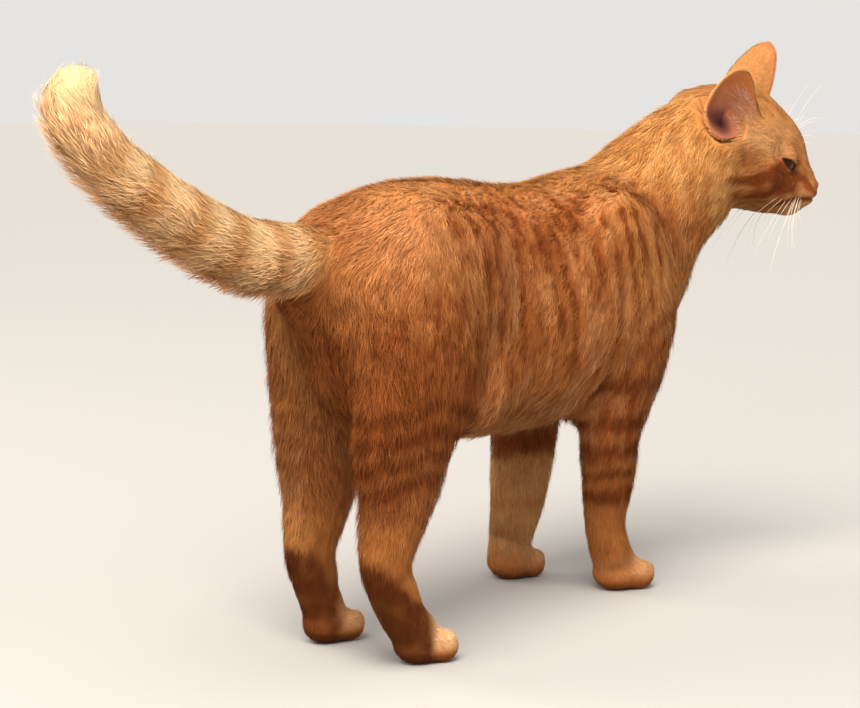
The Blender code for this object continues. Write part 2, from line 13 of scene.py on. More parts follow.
import bmesh
import bpy
import numpy as np
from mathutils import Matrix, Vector


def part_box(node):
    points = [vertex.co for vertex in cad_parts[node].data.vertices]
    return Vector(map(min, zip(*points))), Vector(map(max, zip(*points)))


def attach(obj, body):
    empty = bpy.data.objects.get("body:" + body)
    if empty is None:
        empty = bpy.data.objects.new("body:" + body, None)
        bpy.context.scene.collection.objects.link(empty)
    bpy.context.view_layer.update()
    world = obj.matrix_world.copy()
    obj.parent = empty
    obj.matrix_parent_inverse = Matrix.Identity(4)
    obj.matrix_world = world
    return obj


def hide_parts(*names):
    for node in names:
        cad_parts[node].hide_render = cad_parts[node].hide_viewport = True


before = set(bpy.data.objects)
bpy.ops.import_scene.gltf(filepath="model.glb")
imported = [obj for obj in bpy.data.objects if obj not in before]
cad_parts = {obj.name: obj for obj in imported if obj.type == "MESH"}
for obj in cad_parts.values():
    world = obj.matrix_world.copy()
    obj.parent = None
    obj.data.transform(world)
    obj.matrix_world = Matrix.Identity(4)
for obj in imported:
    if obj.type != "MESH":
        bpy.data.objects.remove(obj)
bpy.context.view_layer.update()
print("solids:", len(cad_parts))

# %% [markdown]
# ## Two frames to measure in
# A cat's head turns on its neck, so its features are easiest to place in a
# frame of its own: x to the nose, y to the cat's left, z up. The two eyes give
# the y axis and the nose leather gives the rest. The body has a frame too,
# which is the solids' own, moved so that x = 0 is under the middle of the back.

# %% Head frame and body frame
def unit(v):
    """Each row divided by its own length."""
    v = np.asarray(v, float)
    return v / np.maximum(np.linalg.norm(v, axis=-1, keepdims=True), 1e-12)


def middle(node):
    low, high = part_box(node)
    return np.array((low + high) / 2)


EYE_AT = np.array((0.0215, 0.0165, 0.0))        # left eye in the head's frame
EYE_RADIUS = 0.0100
NOSE_AT = np.array((0.0560, 0.0, -0.0125))
HEAD_IN_BODY = np.array((0.237, -0.045, 0.281))

eyes_middle = (middle("eye_left") + middle("eye_right")) / 2
head_y = unit(middle("eye_left") - middle("eye_right"))
toward_nose = middle("nose") - eyes_middle
toward_nose = unit(toward_nose - (toward_nose @ head_y) * head_y)
slope = math.atan2(-NOSE_AT[2], NOSE_AT[0] - EYE_AT[0])
lifted = np.cross(toward_nose, head_y)
head_x = math.cos(slope) * toward_nose + math.sin(slope) * lifted
head_z = math.cos(slope) * lifted - math.sin(slope) * toward_nose
HEAD_AXES = np.stack([head_x, head_y, head_z])
BODY_ORIGIN = eyes_middle - EYE_AT[0] * head_x - HEAD_IN_BODY
BODY_ORIGIN[2] = 0.0


def to_head(points):
    return (points - HEAD_IN_BODY) @ HEAD_AXES.T


def from_head(points):
    return np.asarray(points, float) @ HEAD_AXES + HEAD_IN_BODY


print("body frame starts at", np.round(BODY_ORIGIN, 4))

# %% [markdown]
# ## Small tools
# Every new piece is worked out as whole arrays and then put into a mesh. Soft
# random patterns come from value noise: random numbers at the corners of a
# cubic lattice, with a smooth blend between them. Its seed is fixed, so the
# coat comes out the same each time.

# %% Meshes and noise
def new_object(name, points, faces):
    """A mesh object of body-frame points. Faces are an array of equal rows,
    which goes in at once, or a list of rows of mixed length."""
    placed = np.asarray(points, float) + BODY_ORIGIN
    mesh = bpy.data.meshes.new(name)
    if isinstance(faces, np.ndarray):
        count, corners = faces.shape
        mesh.vertices.add(len(placed))
        mesh.vertices.foreach_set("co", placed.astype(np.float32).ravel())
        mesh.loops.add(count * corners)
        mesh.loops.foreach_set("vertex_index", faces.astype(np.int32).ravel())
        mesh.polygons.add(count)
        mesh.polygons.foreach_set("loop_start", np.arange(0, count * corners, corners, dtype=np.int32))
        mesh.update(calc_edges=True)
    else:
        mesh.from_pydata(placed.tolist(), [], faces)
        mesh.update()
    mesh.shade_smooth()
    made = bpy.data.objects.new(name, mesh)
    bpy.context.scene.collection.objects.link(made)
    return made


def turn_outwards(obj):
    """Turns every face of a closed mesh so that it points outwards."""
    work = bmesh.new()
    work.from_mesh(obj.data)
    bmesh.ops.recalc_face_normals(work, faces=work.faces)
    work.to_mesh(obj.data)
    work.free()


def mean_of(values):
    return round(float(np.mean(values)), 4)


def point_values(obj, name, values):
    """A named value or colour at each point of a mesh, for its material."""
    values = np.asarray(values, np.float32)
    if values.ndim == 1:
        made = obj.data.attributes.new(name, "FLOAT", "POINT")
        made.data.foreach_set("value", values)
    else:
        made = obj.data.attributes.new(name, "FLOAT_COLOR", "POINT")
        made.data.foreach_set("color", values.ravel())


LATTICE = np.random.default_rng(11).uniform(-1, 1, (32, 32, 32))


def noise(points, size, seed=0):
    """Value noise from -1 to 1: lattice values at the eight corners of each
    cell of this size, blended by 3t^2 - 2t^3 along x, y and z."""
    at = points / size + 100.0 + 7.3 * seed
    cell = np.floor(at).astype(int)
    t = at - cell
    t = t * t * (3 - 2 * t)
    total = np.zeros(len(points))
    for dx in (0, 1):
        for dy in (0, 1):
            for dz in (0, 1):
                share = np.abs(1 - dx - t[:, 0]) * np.abs(1 - dy - t[:, 1]) * np.abs(1 - dz - t[:, 2])
                corner = (cell + (dx, dy, dz)) % 32
                total += share * LATTICE[corner[:, 0], corner[:, 1], corner[:, 2]]
    return total


def ramp(value, start, end):
    """0 before start, 1 after end, and 3t^2 - 2t^3 between them."""
    t = np.clip((value - start) / (end - start), 0, 1)
    return t * t * (3 - 2 * t)


def bump(distance, width):
    """A bell of height 1: exp(-(distance / width)^2)."""
    return np.exp(-(distance / width) ** 2)


def through(values, fine):
    """A Catmull-Rom curve through rows of values, fine steps to a span."""
    values = np.asarray(values, float)
    padded = np.vstack([2 * values[0] - values[1], values, 2 * values[-1] - values[-2]])
    t = (np.arange(fine) / fine)[None, :, None]
    a, b, c, d = (padded[k:len(padded) - 3 + k, None, :] for k in range(4))
    rows = 0.5 * (2 * b + (c - a) * t + (2 * a - 5 * b + 4 * c - d) * t * t
                  + (3 * b - a - 3 * c + d) * t ** 3)
    return np.vstack([rows.reshape(-1, values.shape[1]), values[-1]])


print("lattice of", LATTICE.size, "random values")

# %% [markdown]
# ## How the coat lies
# A cat's hair starts at the nose and runs back over the head, down the neck
# and along the back to the tail's tip, and it runs down the legs to the toes.
# So each part of the body gets a line down its middle, drawn the way its hair
# lies. At any point of the skin the nearest lines say which way the hair
# points, and how long and deep the coat is there, blended so that nothing
# jumps.

# %% Lines of the coat
# Depth, length and width of the hair in mm, tufts to a square mm, droop, and
# looseness: how shaggy the coat is, from 0 to 1
COAT = {
    "muzzle": (0.6, 2.6, 0.17, 4.6, 0.00, 0.30),
    "face": (1.0, 4.4, 0.20, 3.9, 0.00, 0.35),
    "skull": (1.8, 7.2, 0.26, 2.5, 0.00, 0.50),
    "neck": (3.4, 13.0, 0.42, 1.10, 0.25, 1.00),
    "trunk": (3.5, 10.0, 0.42, 1.00, 1.30, 1.00),
    "tail": (2.2, 13.0, 0.40, 1.80, 0.05, 0.25),
    "thigh": (3.5, 11.0, 0.42, 1.15, 0.60, 0.95),
    "shank": (2.1, 8.5, 0.32, 1.75, 0.00, 0.55),
    "foot": (1.1, 5.0, 0.24, 2.80, 0.00, 0.35),
    "paw": (0.9, 3.6, 0.22, 3.20, 0.00, 0.30),
    "arm": (3.0, 9.5, 0.40, 1.25, 0.10, 0.85),
    "forearm": (1.6, 7.5, 0.29, 2.00, 0.00, 0.45),
}
LEFT, RIGHT = 1, -1
SIDES = ((LEFT, "left"), (RIGHT, "right"))
# Each line: part, side or 0, radius of the part, points down the coat
LINES = [
    ("neck", 0, 0.041, ((0.188, -0.021, 0.272), (0.160, -0.012, 0.247), (0.125, -0.003, 0.222))),
    ("trunk", 0, 0.058, ((0.150, -0.004, 0.215), (0.060, 0.0, 0.195), (-0.050, 0.0, 0.200),
                         (-0.145, 0.0, 0.215))),
    ("tail", 0, 0.021, ((-0.165, -0.001, 0.231), (-0.223, -0.008, 0.2385), (-0.298, -0.019, 0.2605),
                        (-0.366, -0.028, 0.2945), (-0.397, -0.033, 0.3245), (-0.388, -0.032, 0.3325))),
    ("thigh", LEFT, 0.036, ((-0.112, 0.036, 0.222), (-0.120, 0.040, 0.163), (-0.1245, 0.037, 0.105))),
    ("thigh", LEFT, 0.030, ((-0.158, 0.024, 0.208), (-0.150, 0.034, 0.160))),
    ("thigh", RIGHT, 0.030, ((-0.165, -0.022, 0.208), (-0.162, -0.036, 0.160))),
    ("shank", LEFT, 0.020, ((-0.1245, 0.037, 0.105), (-0.136, 0.036, 0.064))),
    ("foot", LEFT, 0.014, ((-0.136, 0.036, 0.064), (-0.129, 0.036, 0.030))),
    ("paw", LEFT, 0.014, ((-0.129, 0.036, 0.026), (-0.118, 0.036, 0.013), (-0.102, 0.0365, 0.006))),
    ("thigh", RIGHT, 0.038, ((-0.114, -0.036, 0.222), (-0.135, -0.042, 0.163), (-0.1475, -0.038, 0.110))),
    ("shank", RIGHT, 0.021, ((-0.1475, -0.038, 0.110), (-0.159, -0.037, 0.067))),
    ("foot", RIGHT, 0.015, ((-0.159, -0.037, 0.067), (-0.1445, -0.037, 0.032))),
    ("paw", RIGHT, 0.014, ((-0.1410, -0.037, 0.026), (-0.125, -0.037, 0.013), (-0.108, -0.038, 0.006))),
    ("arm", LEFT, 0.032, ((0.100, 0.036, 0.222), (0.109, 0.044, 0.152), (0.103, 0.043, 0.108))),
    ("forearm", LEFT, 0.020, ((0.103, 0.043, 0.108), (0.090, 0.043, 0.036))),
    ("paw", LEFT, 0.015, ((0.086, 0.044, 0.027), (0.092, 0.044, 0.013), (0.106, 0.044, 0.006))),
    ("arm", RIGHT, 0.032, ((0.097, -0.036, 0.222), (0.093, -0.042, 0.152), (0.081, -0.037, 0.112))),
    ("forearm", RIGHT, 0.018, ((0.081, -0.037, 0.112), (0.087, -0.031, 0.036))),
    ("paw", RIGHT, 0.015, ((0.092, -0.031, 0.026), (0.102, -0.031, 0.013), (0.119, -0.033, 0.006))),
]
# Spots of the head in its own frame, where the hair runs away from the nose
HEAD_SPOTS = (
    ("skull", 0.040, (-0.016, 0.0, 0.004)),
    ("face", 0.022, (0.024, 0.0, 0.004)),
    ("muzzle", 0.015, (0.047, 0.0, -0.019)),
)
HAIR_STARTS = from_head((0.058, 0.0, -0.006))


def near_line(points, line):
    """Distance to a line of straight spans, the way along it there, and how
    far down it the nearest place is, from 0 to 1."""
    line = np.asarray(line, float)
    best = np.full(len(points), np.inf)
    way = np.zeros((len(points), 3))
    down = np.zeros(len(points))
    lengths = np.linalg.norm(np.diff(line, axis=0), axis=1)
    for k in range(len(line) - 1):
        span = line[k + 1] - line[k]
        t = np.clip((points - line[k]) @ span / (span @ span), 0, 1)
        gap = np.linalg.norm(points - line[k] - t[:, None] * span, axis=1)
        closer = gap < best
        best[closer] = gap[closer]
        way[closer] = span / lengths[k]
        down[closer] = (lengths[:k].sum() + t[closer] * lengths[k]) / lengths.sum()
    return best, way, down


def coat_at(points):
    """The coat's six measures and the way it lies at each point, with each
    line's share falling as the sixth power of distance over radius."""
    total = np.zeros(len(points))
    lie = np.zeros((len(points), 3))
    measures = np.zeros((len(points), 6))
    closest = np.full(len(points), np.inf)
    part = np.zeros(len(points), int)
    rows = [(name, radius, near_line(points, line)[:2]) for name, _, radius, line in LINES]
    from_nose = unit(points - HAIR_STARTS)
    for name, radius, spot in HEAD_SPOTS:
        rows.append((name, radius, (np.linalg.norm(points - from_head(spot), axis=1), from_nose)))
    for index, (name, radius, (gap, way)) in enumerate(rows):
        ratio = np.maximum(gap / radius, 0.15)
        share = ratio ** -6.0
        total += share
        lie += share[:, None] * way
        measures += share[:, None] * np.array(COAT[name])
        nearer = ratio < closest
        closest[nearer] = ratio[nearer]
        part[nearer] = index
    return lie / total[:, None], measures / total[:, None], part


print("lines of the coat:", len(LINES) + len(HEAD_SPOTS))

# %% [markdown]
# ## The skin
# The solids of the flesh are copied, each swollen by a hair so that the thin
# cuts between them close, and a voxel remesh makes one even skin of them. It
# is then smoothed without shrinking: each round moves a point towards its
# neighbours' mean and then a little further back. Last, the skin sinks by the
# depth of the coat, which leaves room for the hair inside the outline.

# %% Remesh the solids into one skin
SWELL = 0.00045
SKIN_VOXEL = 0.0025
SMOOTH_ROUNDS = 24
FLESH = sorted(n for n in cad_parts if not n.startswith(("eye", "nose", "ear")))


def node_shapes(names):
    """Points and triangles of CAD nodes, each merged and swollen."""
    work = bmesh.new()
    for name in names:
        work.from_mesh(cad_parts[name].data)
    bmesh.ops.remove_doubles(work, verts=work.verts, dist=1e-6)
    bmesh.ops.triangulate(work, faces=work.faces)
    mesh = bpy.data.meshes.new("swollen")
    work.to_mesh(mesh)
    work.free()
    points = np.empty(len(mesh.vertices) * 3, np.float32)
    mesh.vertices.foreach_get("co", points)
    normals = np.empty(len(mesh.vertices) * 3, np.float32)
    mesh.vertices.foreach_get("normal", normals)
    faces = np.empty(len(mesh.polygons) * 3, np.int32)
    mesh.polygons.foreach_get("vertices", faces)
    bpy.data.meshes.remove(mesh)
    points = points.reshape(-1, 3).astype(float) + SWELL * normals.reshape(-1, 3)
    return points - BODY_ORIGIN, faces.reshape(-1, 3)


skin = new_object("skin", *node_shapes([*FLESH, "eye_left", "eye_right", "nose"]))
fuse = skin.modifiers.new("fuse", "REMESH")
fuse.mode = "VOXEL"
fuse.voxel_size = SKIN_VOXEL
graph = bpy.context.evaluated_depsgraph_get()
fused = bpy.data.meshes.new_from_object(skin.evaluated_get(graph), depsgraph=graph)
skin.modifiers.clear()
skin.data = fused


def mesh_points(mesh):
    points = np.empty(len(mesh.vertices) * 3, np.float32)
    mesh.vertices.foreach_get("co", points)
    return points.reshape(-1, 3).astype(float) - BODY_ORIGIN


def mesh_edges(mesh):
    edges = np.empty(len(mesh.edges) * 2, np.int32)
    mesh.edges.foreach_get("vertices", edges)
    return edges.reshape(-1, 2)


def mesh_triangles(mesh):
    mesh.calc_loop_triangles()
    faces = np.empty(len(mesh.loop_triangles) * 3, np.int32)
    mesh.loop_triangles.foreach_get("vertices", faces)
    return faces.reshape(-1, 3)


def neighbours_mean(values, edges):
    """Mean of each point's neighbours along the edges."""
    count = len(values)
    ends = np.concatenate([edges[:, 0], edges[:, 1]])
    others = np.concatenate([edges[:, 1], edges[:, 0]])
    degree = np.maximum(np.bincount(ends, minlength=count), 1)
    columns = [np.bincount(ends, values[others, k], count) / degree for k in range(values.shape[1])]
    return np.stack(columns, axis=1)


def relaxed(points, edges, rounds, weight):
    """Smoothing that keeps the size: half a step in, and 0.52 back out."""
    for _ in range(rounds):
        points = points + 0.50 * weight[:, None] * (neighbours_mean(points, edges) - points)
        points = points - 0.52 * weight[:, None] * (neighbours_mean(points, edges) - points)
    return points


def normals_of(points, triangles):
    """Unit normals at the points: the sum of the areas of the faces round each."""
    a, b, c = (points[triangles[:, k]] for k in range(3))
    area = np.cross(b - a, c - a)
    total = np.zeros_like(points)
    for k in range(3):
        for axis in range(3):
            total[:, axis] += np.bincount(triangles[:, k], area[:, axis], len(points))
    return unit(total)


skin_points = mesh_points(skin.data)
skin_edges = mesh_edges(skin.data)
_, measures, _ = coat_at(skin_points)
soft = np.clip((measures[:, 0] - 0.6) / 2.6, 0.12, 1.0)
skin_points = relaxed(skin_points, skin_edges, SMOOTH_ROUNDS, soft)
skin_normals = normals_of(skin_points, mesh_triangles(skin.data))
depth = neighbours_mean(measures[:, :1], skin_edges)[:, 0] / 1000
skin_points = skin_points - depth[:, None] * skin_normals
skin_points = relaxed(skin_points, skin_edges, 3, soft)
print("skin:", len(skin_points), "points")

# %% [markdown]
# ## Sculpting the face
# Eyelids, lips and the corner of the mouth are only a millimetre or two deep,
# so the face needs a finer mesh than the flank. Its squares are split in four,
# and those round the eyes and the mouth once more. Then each feature pushes
# the skin in or out by a bell-shaped amount, in the head's own frame.

# %% Refine the mesh of the face
def refine(obj, points, chosen):
    """Splits the faces whose points are all chosen, and reads them back."""
    obj.data.vertices.foreach_set("co", (points + BODY_ORIGIN).astype(np.float32).ravel())
    work = bmesh.new()
    work.from_mesh(obj.data)
    work.verts.ensure_lookup_table()
    marked = set(np.flatnonzero(chosen).tolist())
    edges = [e for e in work.edges if e.verts[0].index in marked and e.verts[1].index in marked]
    bmesh.ops.subdivide_edges(work, edges=edges, cuts=1, use_grid_fill=True)
    work.to_mesh(obj.data)
    work.free()
    obj.data.update()
    return mesh_points(obj.data), mesh_edges(obj.data)


on_head = to_head(skin_points)
whole_face = (on_head[:, 0] > 0.006) & (np.abs(on_head[:, 2]) < 0.042) & (np.abs(on_head[:, 1]) < 0.036)
skin_points, skin_edges = refine(skin, skin_points, whole_face)
on_head = to_head(skin_points)
face_area = (on_head[:, 0] > 0.004) & (np.abs(on_head[:, 2]) < 0.044)
skin_points = relaxed(skin_points, skin_edges, 4, 0.7 * face_area)
paws = skin_points[:, 2] < 0.026
skin_points, skin_edges = refine(skin, skin_points, paws)
off_soles = (skin_points[:, 2] < 0.027) * (skin_points[:, 2] > 0.0015)
skin_points = relaxed(skin_points, skin_edges, 2, 0.5 * off_soles)
on_head = to_head(skin_points)
near_eye = np.linalg.norm(np.abs(on_head) - (0.0275, 0.022, 0.001), axis=1) < 0.0135
near_mouth = (on_head[:, 0] > 0.026) & (on_head[:, 2] < -0.004)
skin_points, skin_edges = refine(skin, skin_points, near_eye | near_mouth)
on_head = to_head(skin_points)
skin_points = relaxed(skin_points, skin_edges, 3, 0.6 * (on_head[:, 0] > 0.010))
print("skin with a finer face:", len(skin_points), "points")

# %% Sculpt lids, muzzle and mouth
EYE_IN = unit(np.array((0.0100, -0.0040, -0.0035)))      # towards the inner corner
EYE_OUT = unit(np.array((-0.0035, 0.0090, 0.0020)))      # towards the outer corner
GAZE = unit(EYE_IN + EYE_OUT)
EYE_ACROSS = unit(EYE_OUT - EYE_IN)
EYE_UP = np.cross(GAZE, EYE_ACROSS) * np.sign(np.cross(GAZE, EYE_ACROSS)[2])
SLIT_HALF = math.radians(66)          # half the opening's width on the ball
SLIT_UP = math.radians(-11)           # its middle line is below the gaze
UPPER_LID, LOWER_LID = math.radians(12.0), math.radians(19.0)
LID_GAP = 0.0008          # the lids' inner side stands this far off the ball
BEHIND_BALL = 0.0022      # inside the slit the skin drops this far below its surface


def mirrored(points, side):
    return np.asarray(points, float) * (1, side, 1)


def lid_edge(across, upper):
    """Height of a lid's edge above the eye's middle line, as angles on the
    ball, sin(pi s^1.5)^0.9: both lids meet at the corners, and the eye is
    most open towards its outer corner."""
    share = np.clip(0.5 + 0.5 * across / SLIT_HALF, 0, 1)      # from the inner corner to the outer
    arch = np.sin(math.pi * share ** 1.5).clip(0) ** 0.9
    return arch * UPPER_LID if upper else -arch * LOWER_LID


def eye_angles(points, side):
    """Angles of points seen from the eyeball's middle, across and up."""
    away = mirrored(points, side) - EYE_AT
    reach = np.linalg.norm(away, axis=1)
    u, v, w = away @ EYE_ACROSS, away @ EYE_UP, away @ GAZE
    return np.arctan2(u, w), np.arcsin(np.clip(v / reach, -1, 1)) - SLIT_UP, away, reach


def sculpt_eye(points, side):
    """Lids hug the ball; inside the slit the skin drops behind its surface."""
    across, up, away, reach = eye_angles(points, side)
    limit = np.where(up > 0, lid_edge(across, True), -lid_edge(across, False))
    beyond = np.abs(up) - limit
    beyond = np.maximum(beyond, (np.abs(across) - SLIT_HALF) * 0.8)
    close = (reach < 0.019) & (away @ GAZE > 0)
    hug = bump(np.maximum(beyond, 0), math.radians(26)) * close
    lid_radius = EYE_RADIUS + LID_GAP + 0.0005 * bump(beyond - math.radians(9), math.radians(8))
    wanted = reach + hug * (lid_radius - reach)
    around = (reach < 0.020) & (away @ GAZE > -0.003)
    wanted = np.where(around, np.maximum(wanted, EYE_RADIUS + LID_GAP), wanted)
    wanted = np.where(close & (beyond < 0), EYE_RADIUS - BEHIND_BALL, wanted)
    return mirrored(EYE_AT + away * (wanted / reach)[:, None], side)


def near_path(points, path):
    return near_line(points, through(path, 5))[0]


# Base deep in the head, tip, and the way each ear faces, in the head's frame
EARS = {
    LEFT: ((-0.0090, 0.0215, 0.0080), (0.0160, 0.0335, 0.0785), (0.64, 0.77, 0.0)),
    RIGHT: ((-0.0160, -0.0165, -0.0090), (-0.0355, -0.0515, 0.0490), (0.12, -0.99, 0.0)),
}
# Rim of each ear in its own frame: towards its front, up, and out of its opening
EAR_RIM = {
    LEFT: np.array((
        (17.5, 17.0, 1.0), (16.8, 28.0, -0.5), (15.0, 40.0, -1.2), (12.0, 53.0, -1.0), (7.0, 65.5, -0.5),
        (0.0, 71.0, 0.0), (-7.0, 66.0, -0.5), (-11.8, 56.0, -0.5), (-14.8, 44.0, 0.0), (-16.0, 32.0, 0.5),
        (-15.5, 22.0, 2.0), (-10.0, 14.5, 4.0), (0.0, 12.5, 5.0), (10.0, 12.5, 3.0),
    )) / 1000,
    RIGHT: np.array((
        (21.4, 27.9, 2.0), (18.6, 36.0, -0.8), (15.6, 46.0, -1.3), (12.4, 57.0, -1.0), (6.6, 67.8, -0.5),
        (-2.4, 71.0, 0.0), (-11.4, 65.6, -0.6), (-18.8, 55.5, -0.2), (-23.4, 45.0, 2.2), (-23.2, 36.5, 8.4),
        (-18.0, 31.2, 12.4), (-9.9, 28.0, 12.0), (1.0, 26.6, 9.4), (12.7, 25.4, 6.0),
    )) / 1000,
}
EAR_CANAL = {LEFT: np.array((-0.0050, 0.0200, -0.0055)), RIGHT: np.array((-0.0110, 0.0335, 0.0010))}
# Where the head's skin sinks under each bowl: front and up of the middle, and its half widths
EAR_PIT = {LEFT: (-0.0010, 0.0210, 0.0150, 0.0115), RIGHT: (-0.0085, 0.0380, 0.0175, 0.0115)}
EAR_TOP = 0.0712


def ear_frame(side):
    """Base of an ear in the head's frame, its axes as rows, and its scale."""
    base, tip, faces_to = (np.array(v) for v in EARS[side])
    up = unit(tip - base)
    face = unit(faces_to - (faces_to @ up) * up)
    front = np.cross(up, face) * -side
    return base, np.stack([front, up, face]), np.linalg.norm(tip - base) / EAR_TOP


def from_pit(local, side):
    """Distance from the middle of the pit under an ear, 1 at its edge."""
    front, up, half_front, half_up = EAR_PIT[side]
    return np.hypot((local[:, 0] - front) / half_front, (local[:, 1] - up) / half_up)


def in_ear(points, side):
    """Points of the head's frame in the frame of an ear."""
    base, axes, scale = ear_frame(side)
    return (points - base) @ axes.T / scale


# The mouth line as it runs seen from the side
MOUTH = np.array(((0.0552, 0.0, -0.0192), (0.0505, 0.0, -0.0224), (0.0420, 0.0, -0.0240),
                  (0.0335, 0.0, -0.0257), (0.0275, 0.0, -0.0288)))
PHILTRUM = ((0.0590, 0.0, -0.0150), (0.0570, 0.0, -0.0178), (0.0545, 0.0, -0.0205))

skin_normals = normals_of(skin_points, mesh_triangles(skin.data))
head_points = to_head(skin_points)
head_normals = skin_normals @ HEAD_AXES.T
folded = mirrored(head_points, 1)
folded[:, 1] = np.abs(folded[:, 1])
from_side = folded * (1, 0, 1)
in_mouth = near_path(from_side, MOUTH)
push = -0.0022 * bump(in_mouth, 0.0014)
push += -0.0009 * bump(near_path(folded, PHILTRUM), 0.0009)
push += 0.0007 * bump(near_path(from_side + (0, 0, -0.0030), MOUTH), 0.0022)       # upper lip
push += 0.0018 * bump(np.linalg.norm(folded - (0.0460, 0.0095, -0.0185), axis=1), 0.0075)
push -= 0.0010 * bump(np.linalg.norm(folded - (0.0340, 0.0140, -0.0130), axis=1), 0.0050)
push += -0.0008 * bump(near_path(folded, ((0.0330, 0.0105, 0.0030), (0.0440, 0.0085, -0.0050))), 0.0030)
push *= folded[:, 0] > 0.012
head_points = head_points + push[:, None] * head_normals
for side in (LEFT, RIGHT):
    chosen = head_points[:, 1] * side > 0.004
    head_points[chosen] = sculpt_eye(head_points[chosen], side)
    # The skin sinks under the bowl of each ear
    local = in_ear(head_points, side)
    sunk = 0.0150 * ramp(1.12 - from_pit(local, side), 0, 0.42) * (local[:, 2] > -0.018)
    sunk *= head_points[:, 1] * side > 0.006
    head_points += sunk[:, None] * unit(np.array((-0.018, 0.0, -0.004)) - head_points)
changed = head_points[:, 0] > -0.060
skin_points[changed] = from_head(head_points[changed])
# Toes: three furrows over the front of each paw, between four toes
TOE_DEPTH = 0.0026
PAW_FRONTS = ((0.106, 0.044), (0.119, -0.033), (-0.102, 0.0365), (-0.108, -0.038))
TOE_GAPS = (0.27, 0.50, 0.73)        # shares of the paw's width
for near in PAW_FRONTS:
    from_front = np.hypot(skin_points[:, 0] - near[0], skin_points[:, 1] - near[1])
    chosen = (from_front < 0.026) & (skin_points[:, 2] < 0.028)
    x, y, z = skin_points[chosen].T
    front, low, high = x.max(), y[x > x.max() - 0.012].min(), y[x > x.max() - 0.012].max()
    wide = high - low
    place = (y - low) / wide
    furrows = sum(bump(place - at, 0.10) for at in TOE_GAPS)
    furrows *= ramp(x, front - 0.019, front - 0.010) * ramp(z, 0.0015, 0.0045)
    skin_points[chosen] -= TOE_DEPTH * furrows[:, None] * skin_normals[chosen]
    print("paw front", round(front, 4), "width", round(wide, 4))
skin_normals = normals_of(skin_points, mesh_triangles(skin.data))
skin.data.vertices.foreach_set("co", (skin_points + BODY_ORIGIN).astype(np.float32).ravel())
skin.data.shade_smooth()
print("skin triangles:", len(mesh_triangles(skin.data)))

# %% [markdown]
# ## Markings
# The cat is a red mackerel tabby: thin upright stripes on the flanks, a darker
# line down the back, bars on the legs, soft rings on a cream tail and two
# stripes on each cheek. They could be an image wrapped round the skin, but that
# would show its seams. Here each mark is a bell or a wave in the body's own
# coordinates, bent and broken up by noise. Painted shade and painted light go in
# with the marks: shade in creases, gaps and low places, light on the left legs
# and the ears' rims. A survey of the points comes first: it says of which part
# each one is, and how far along that part it lies.

# %% Lines, rings and bars
TAIL_LINE = next(line for name, _, _, line in LINES if name == "tail")
TAIL_RINGS = (0.12, 0.27, 0.415, 0.555, 0.70, 0.83)        # shares of the tail
LINE_PARTS = [name for name, *_ in LINES] + [name for name, *_ in HEAD_SPOTS]
LINE_SIDES = [side for _, side, _, _ in LINES] + [0] * len(HEAD_SPOTS)
# Bars across the right fore leg, each with its height and half height, and
# heights of the bars across the thighs
RIGHT_FORE_BARS = ((0.138, 0.0050), (0.1135, 0.0042), (0.0950, 0.0048), (0.0800, 0.0030),
                   (0.0660, 0.0056))
THIGH_BARS = (0.148, 0.1345, 0.1200, 0.1060)
# Lines of the face as they run seen from the side
TEAR_LINE = ((0.0290, 0, -0.0060), (0.0395, 0, -0.0098), (0.0480, 0, -0.0150), (0.0520, 0, -0.0165))
CHEEK_UPPER = ((0.0195, 0, -0.0040), (0.0085, 0, -0.0102), (-0.0030, 0, -0.0175), (-0.0110, 0, -0.0203),
               (-0.0250, 0, -0.0225))
CHEEK_LOWER = ((0.0300, 0, -0.0165), (0.0150, 0, -0.0220), (0.0045, 0, -0.0275), (-0.0070, 0, -0.0305),
               (-0.0200, 0, -0.0315))


def surveyed(points, normals):
    """All that a mark asks about each point: the part and side it is on, its
    place in the body's frame and the head's, and noises to break marks up."""
    x, y, z = points.T
    _, _, part = coat_at(points)
    name = np.array(LINE_PARTS)[part]
    head = to_head(points)
    folded = head.copy()
    folded[:, 1] = -np.abs(head[:, 1])
    is_head, is_tail = np.isin(name, ("skull", "face", "muzzle")), name == "tail"
    is_leg = np.isin(name, ("shank", "foot", "paw", "forearm"))
    return SimpleNamespace(
        points=points, normals=normals, x=x, y=y, z=z, name=name, side=np.array(LINE_SIDES)[part],
        head=head, folded=folded, seen_from_side=(1, 0, 1) * folded,
        is_head=is_head, is_tail=is_tail, is_leg=is_leg, body=~(is_head | is_tail | is_leg),
        thigh=name == "thigh", low_thigh=(name == "thigh") | (name == "shank"), paw=name == "paw",
        wide=noise(points, 0.022, 1), fine=noise(points, 0.0085, 2), small=noise(points, 0.0042, 3),
        streak=noise(points * (1, 1, 0.22), 0.0052, 4) + 0.7 * noise(points * (1, 1, 0.3), 0.0105, 5))


def by_paw(at, right_fore, left_fore, right_hind, left_hind):
    """At each point the value of the leg that it is on."""
    return np.where(at.x > 0, np.where(at.side == RIGHT, right_fore, left_fore),
                    np.where(at.side == RIGHT, right_hind, left_hind))


skin_at = surveyed(skin_points, skin_normals)
print("points of head, tail and legs:", skin_at.is_head.sum(), skin_at.is_tail.sum(), skin_at.is_leg.sum())
